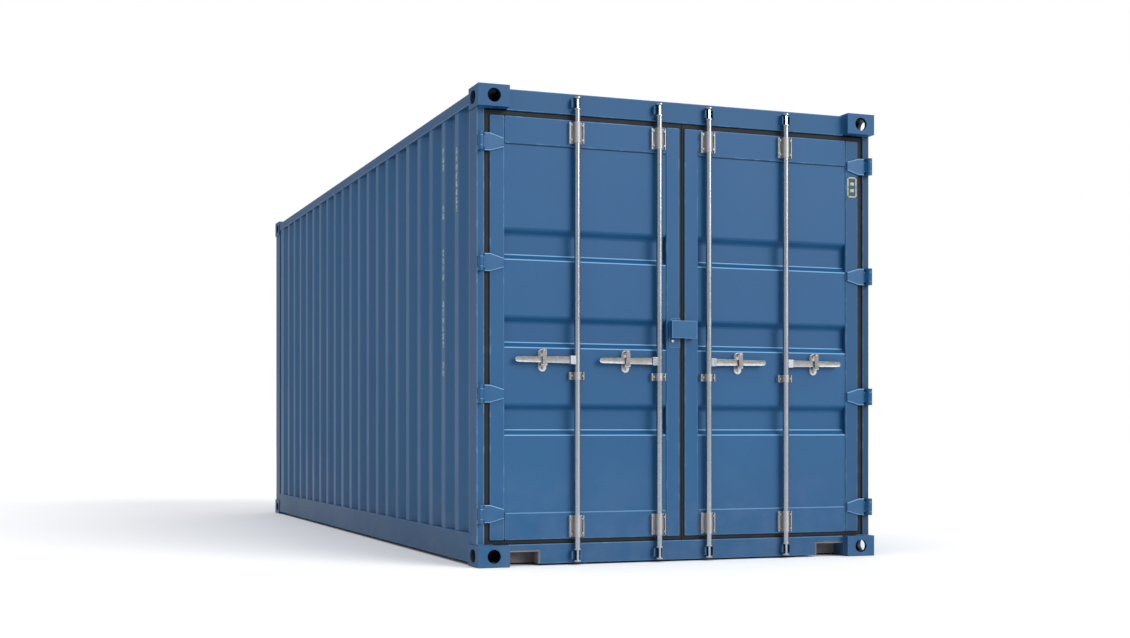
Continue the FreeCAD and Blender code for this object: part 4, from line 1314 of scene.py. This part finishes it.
class CONTAINER_OT_stage(bpy.types.Operator):
    """Plain floor, soft lights and the camera"""

    bl_idname = "container.stage"
    bl_label = "Stage"

    def execute(self, context):
        self.floor()
        self.surroundings(context.scene)
        self.suns(context.scene)
        self.camera(context.scene)
        context.scene.view_settings.view_transform = "Standard"
        return {"FINISHED"}

    @staticmethod
    def floor():
        deselect_all()
        bpy.ops.mesh.primitive_plane_add(size=120, location=(0, 0, -MM))
        floor = settle(bpy.context.object, "stage_floor")
        made, _, _, shader = new_finish("stage_paint")
        shader.inputs["Base Color"].default_value = (*colours().stage_floor, 1)
        shader.inputs["Roughness"].default_value = 0.9
        floor.data.materials.append(made)

    @staticmethod
    def surroundings(scene):
        """White behind the floor, and a weaker, cooler white that lights the steel."""
        world = scene.world or bpy.data.worlds.new("studio")
        scene.world = world
        world.use_nodes = True
        tree = world.node_tree
        seen = tree.nodes["Background"]
        seen.inputs["Color"].default_value = (1, 1, 1, 1)
        lit = add(
            tree, "ShaderNodeBackground", Color=(0.97, 0.985, 1, 1),
            Strength=scene.container_stage.sky_strength,
        )
        path = add(tree, "ShaderNodeLightPath")
        both = add(tree, "ShaderNodeMixShader")
        tree.links.new(path.outputs["Is Camera Ray"], both.inputs[0])
        tree.links.new(lit.outputs[0], both.inputs[1])
        tree.links.new(seen.outputs[0], both.inputs[2])
        tree.links.new(both.outputs[0], tree.nodes["World Output"].inputs["Surface"])

    @staticmethod
    def suns(scene):
        """Two very soft lights, each shining from its place towards the container."""
        stage = scene.container_stage
        for name, spot, spread, power in (
            ("key_light", (9.0, 5.5, 5.2), 38, stage.key_power),
            ("top_light", (2.0, -1.0, 9.0), 50, stage.top_power),
        ):
            lamp = bpy.data.lights.new(name, "SUN")
            lamp.angle = math.radians(spread)
            lamp.energy = power
            holder = bpy.data.objects.new(name, lamp)
            holder.location = spot
            holder.rotation_euler = Vector(spot).to_track_quat("Z", "Y").to_euler()
            scene.collection.objects.link(holder)

    @staticmethod
    def camera(scene):
        stage = scene.container_stage
        lens = bpy.data.cameras.new("camera")
        lens.lens = stage.lens
        lens.sensor_width = 36
        lens.shift_y = stage.rise
        lens.clip_end = 200
        holder = bpy.data.objects.new("camera", lens)
        holder.location = stage.eye
        holder.rotation_euler = (math.radians(90), 0, stage.heading)
        scene.collection.objects.link(holder)
        scene.camera = holder


PIECE_OPERATORS = (
    CONTAINER_OT_corner_fittings, CONTAINER_OT_frame_members, CONTAINER_OT_sheet_walls,
    CONTAINER_OT_floor, CONTAINER_OT_door_leaves, CONTAINER_OT_door_seals, CONTAINER_OT_hinges,
    CONTAINER_OT_locking_bars, CONTAINER_OT_bar_brackets, CONTAINER_OT_handles,
    CONTAINER_OT_lock_box, CONTAINER_OT_cam_keepers, CONTAINER_OT_welds, CONTAINER_OT_markings,
    CONTAINER_OT_stage,
)


class CONTAINER_PT_panel(bpy.types.Panel):
    """Settings and steps"""

    bl_idname = "CONTAINER_PT_panel"
    bl_label = "Freight container"
    bl_space_type = "VIEW_3D"
    bl_region_type = "UI"
    bl_category = "Container"

    def draw(self, context):
        scene = context.scene
        for settings in (scene.container_colours, scene.container_sizes, scene.container_stage):
            for key in settings.__annotations__:
                self.layout.prop(settings, key)
        for step in PIECE_OPERATORS:
            self.layout.operator(step.bl_idname)


CLASSES = (ContainerColours, ContainerSizes, ContainerStage, *PIECE_OPERATORS, CONTAINER_PT_panel)


def register():
    for kind in CLASSES:
        bpy.utils.register_class(kind)
    bpy.types.Scene.container_colours = bpy.props.PointerProperty(type=ContainerColours)
    bpy.types.Scene.container_sizes = bpy.props.PointerProperty(type=ContainerSizes)
    bpy.types.Scene.container_stage = bpy.props.PointerProperty(type=ContainerStage)


def unregister():
    del bpy.types.Scene.container_stage
    del bpy.types.Scene.container_sizes
    del bpy.types.Scene.container_colours
    for kind in reversed(CLASSES):
        bpy.utils.unregister_class(kind)


def main():
    """Run every step in order."""
    register()
    FINISHES.update(build_finishes())
    for step in PIECE_OPERATORS:
        group, name = step.bl_idname.split(".")
        getattr(getattr(bpy.ops, group), name)()
    deselect_all()


if __name__ == "__main__":
    main()
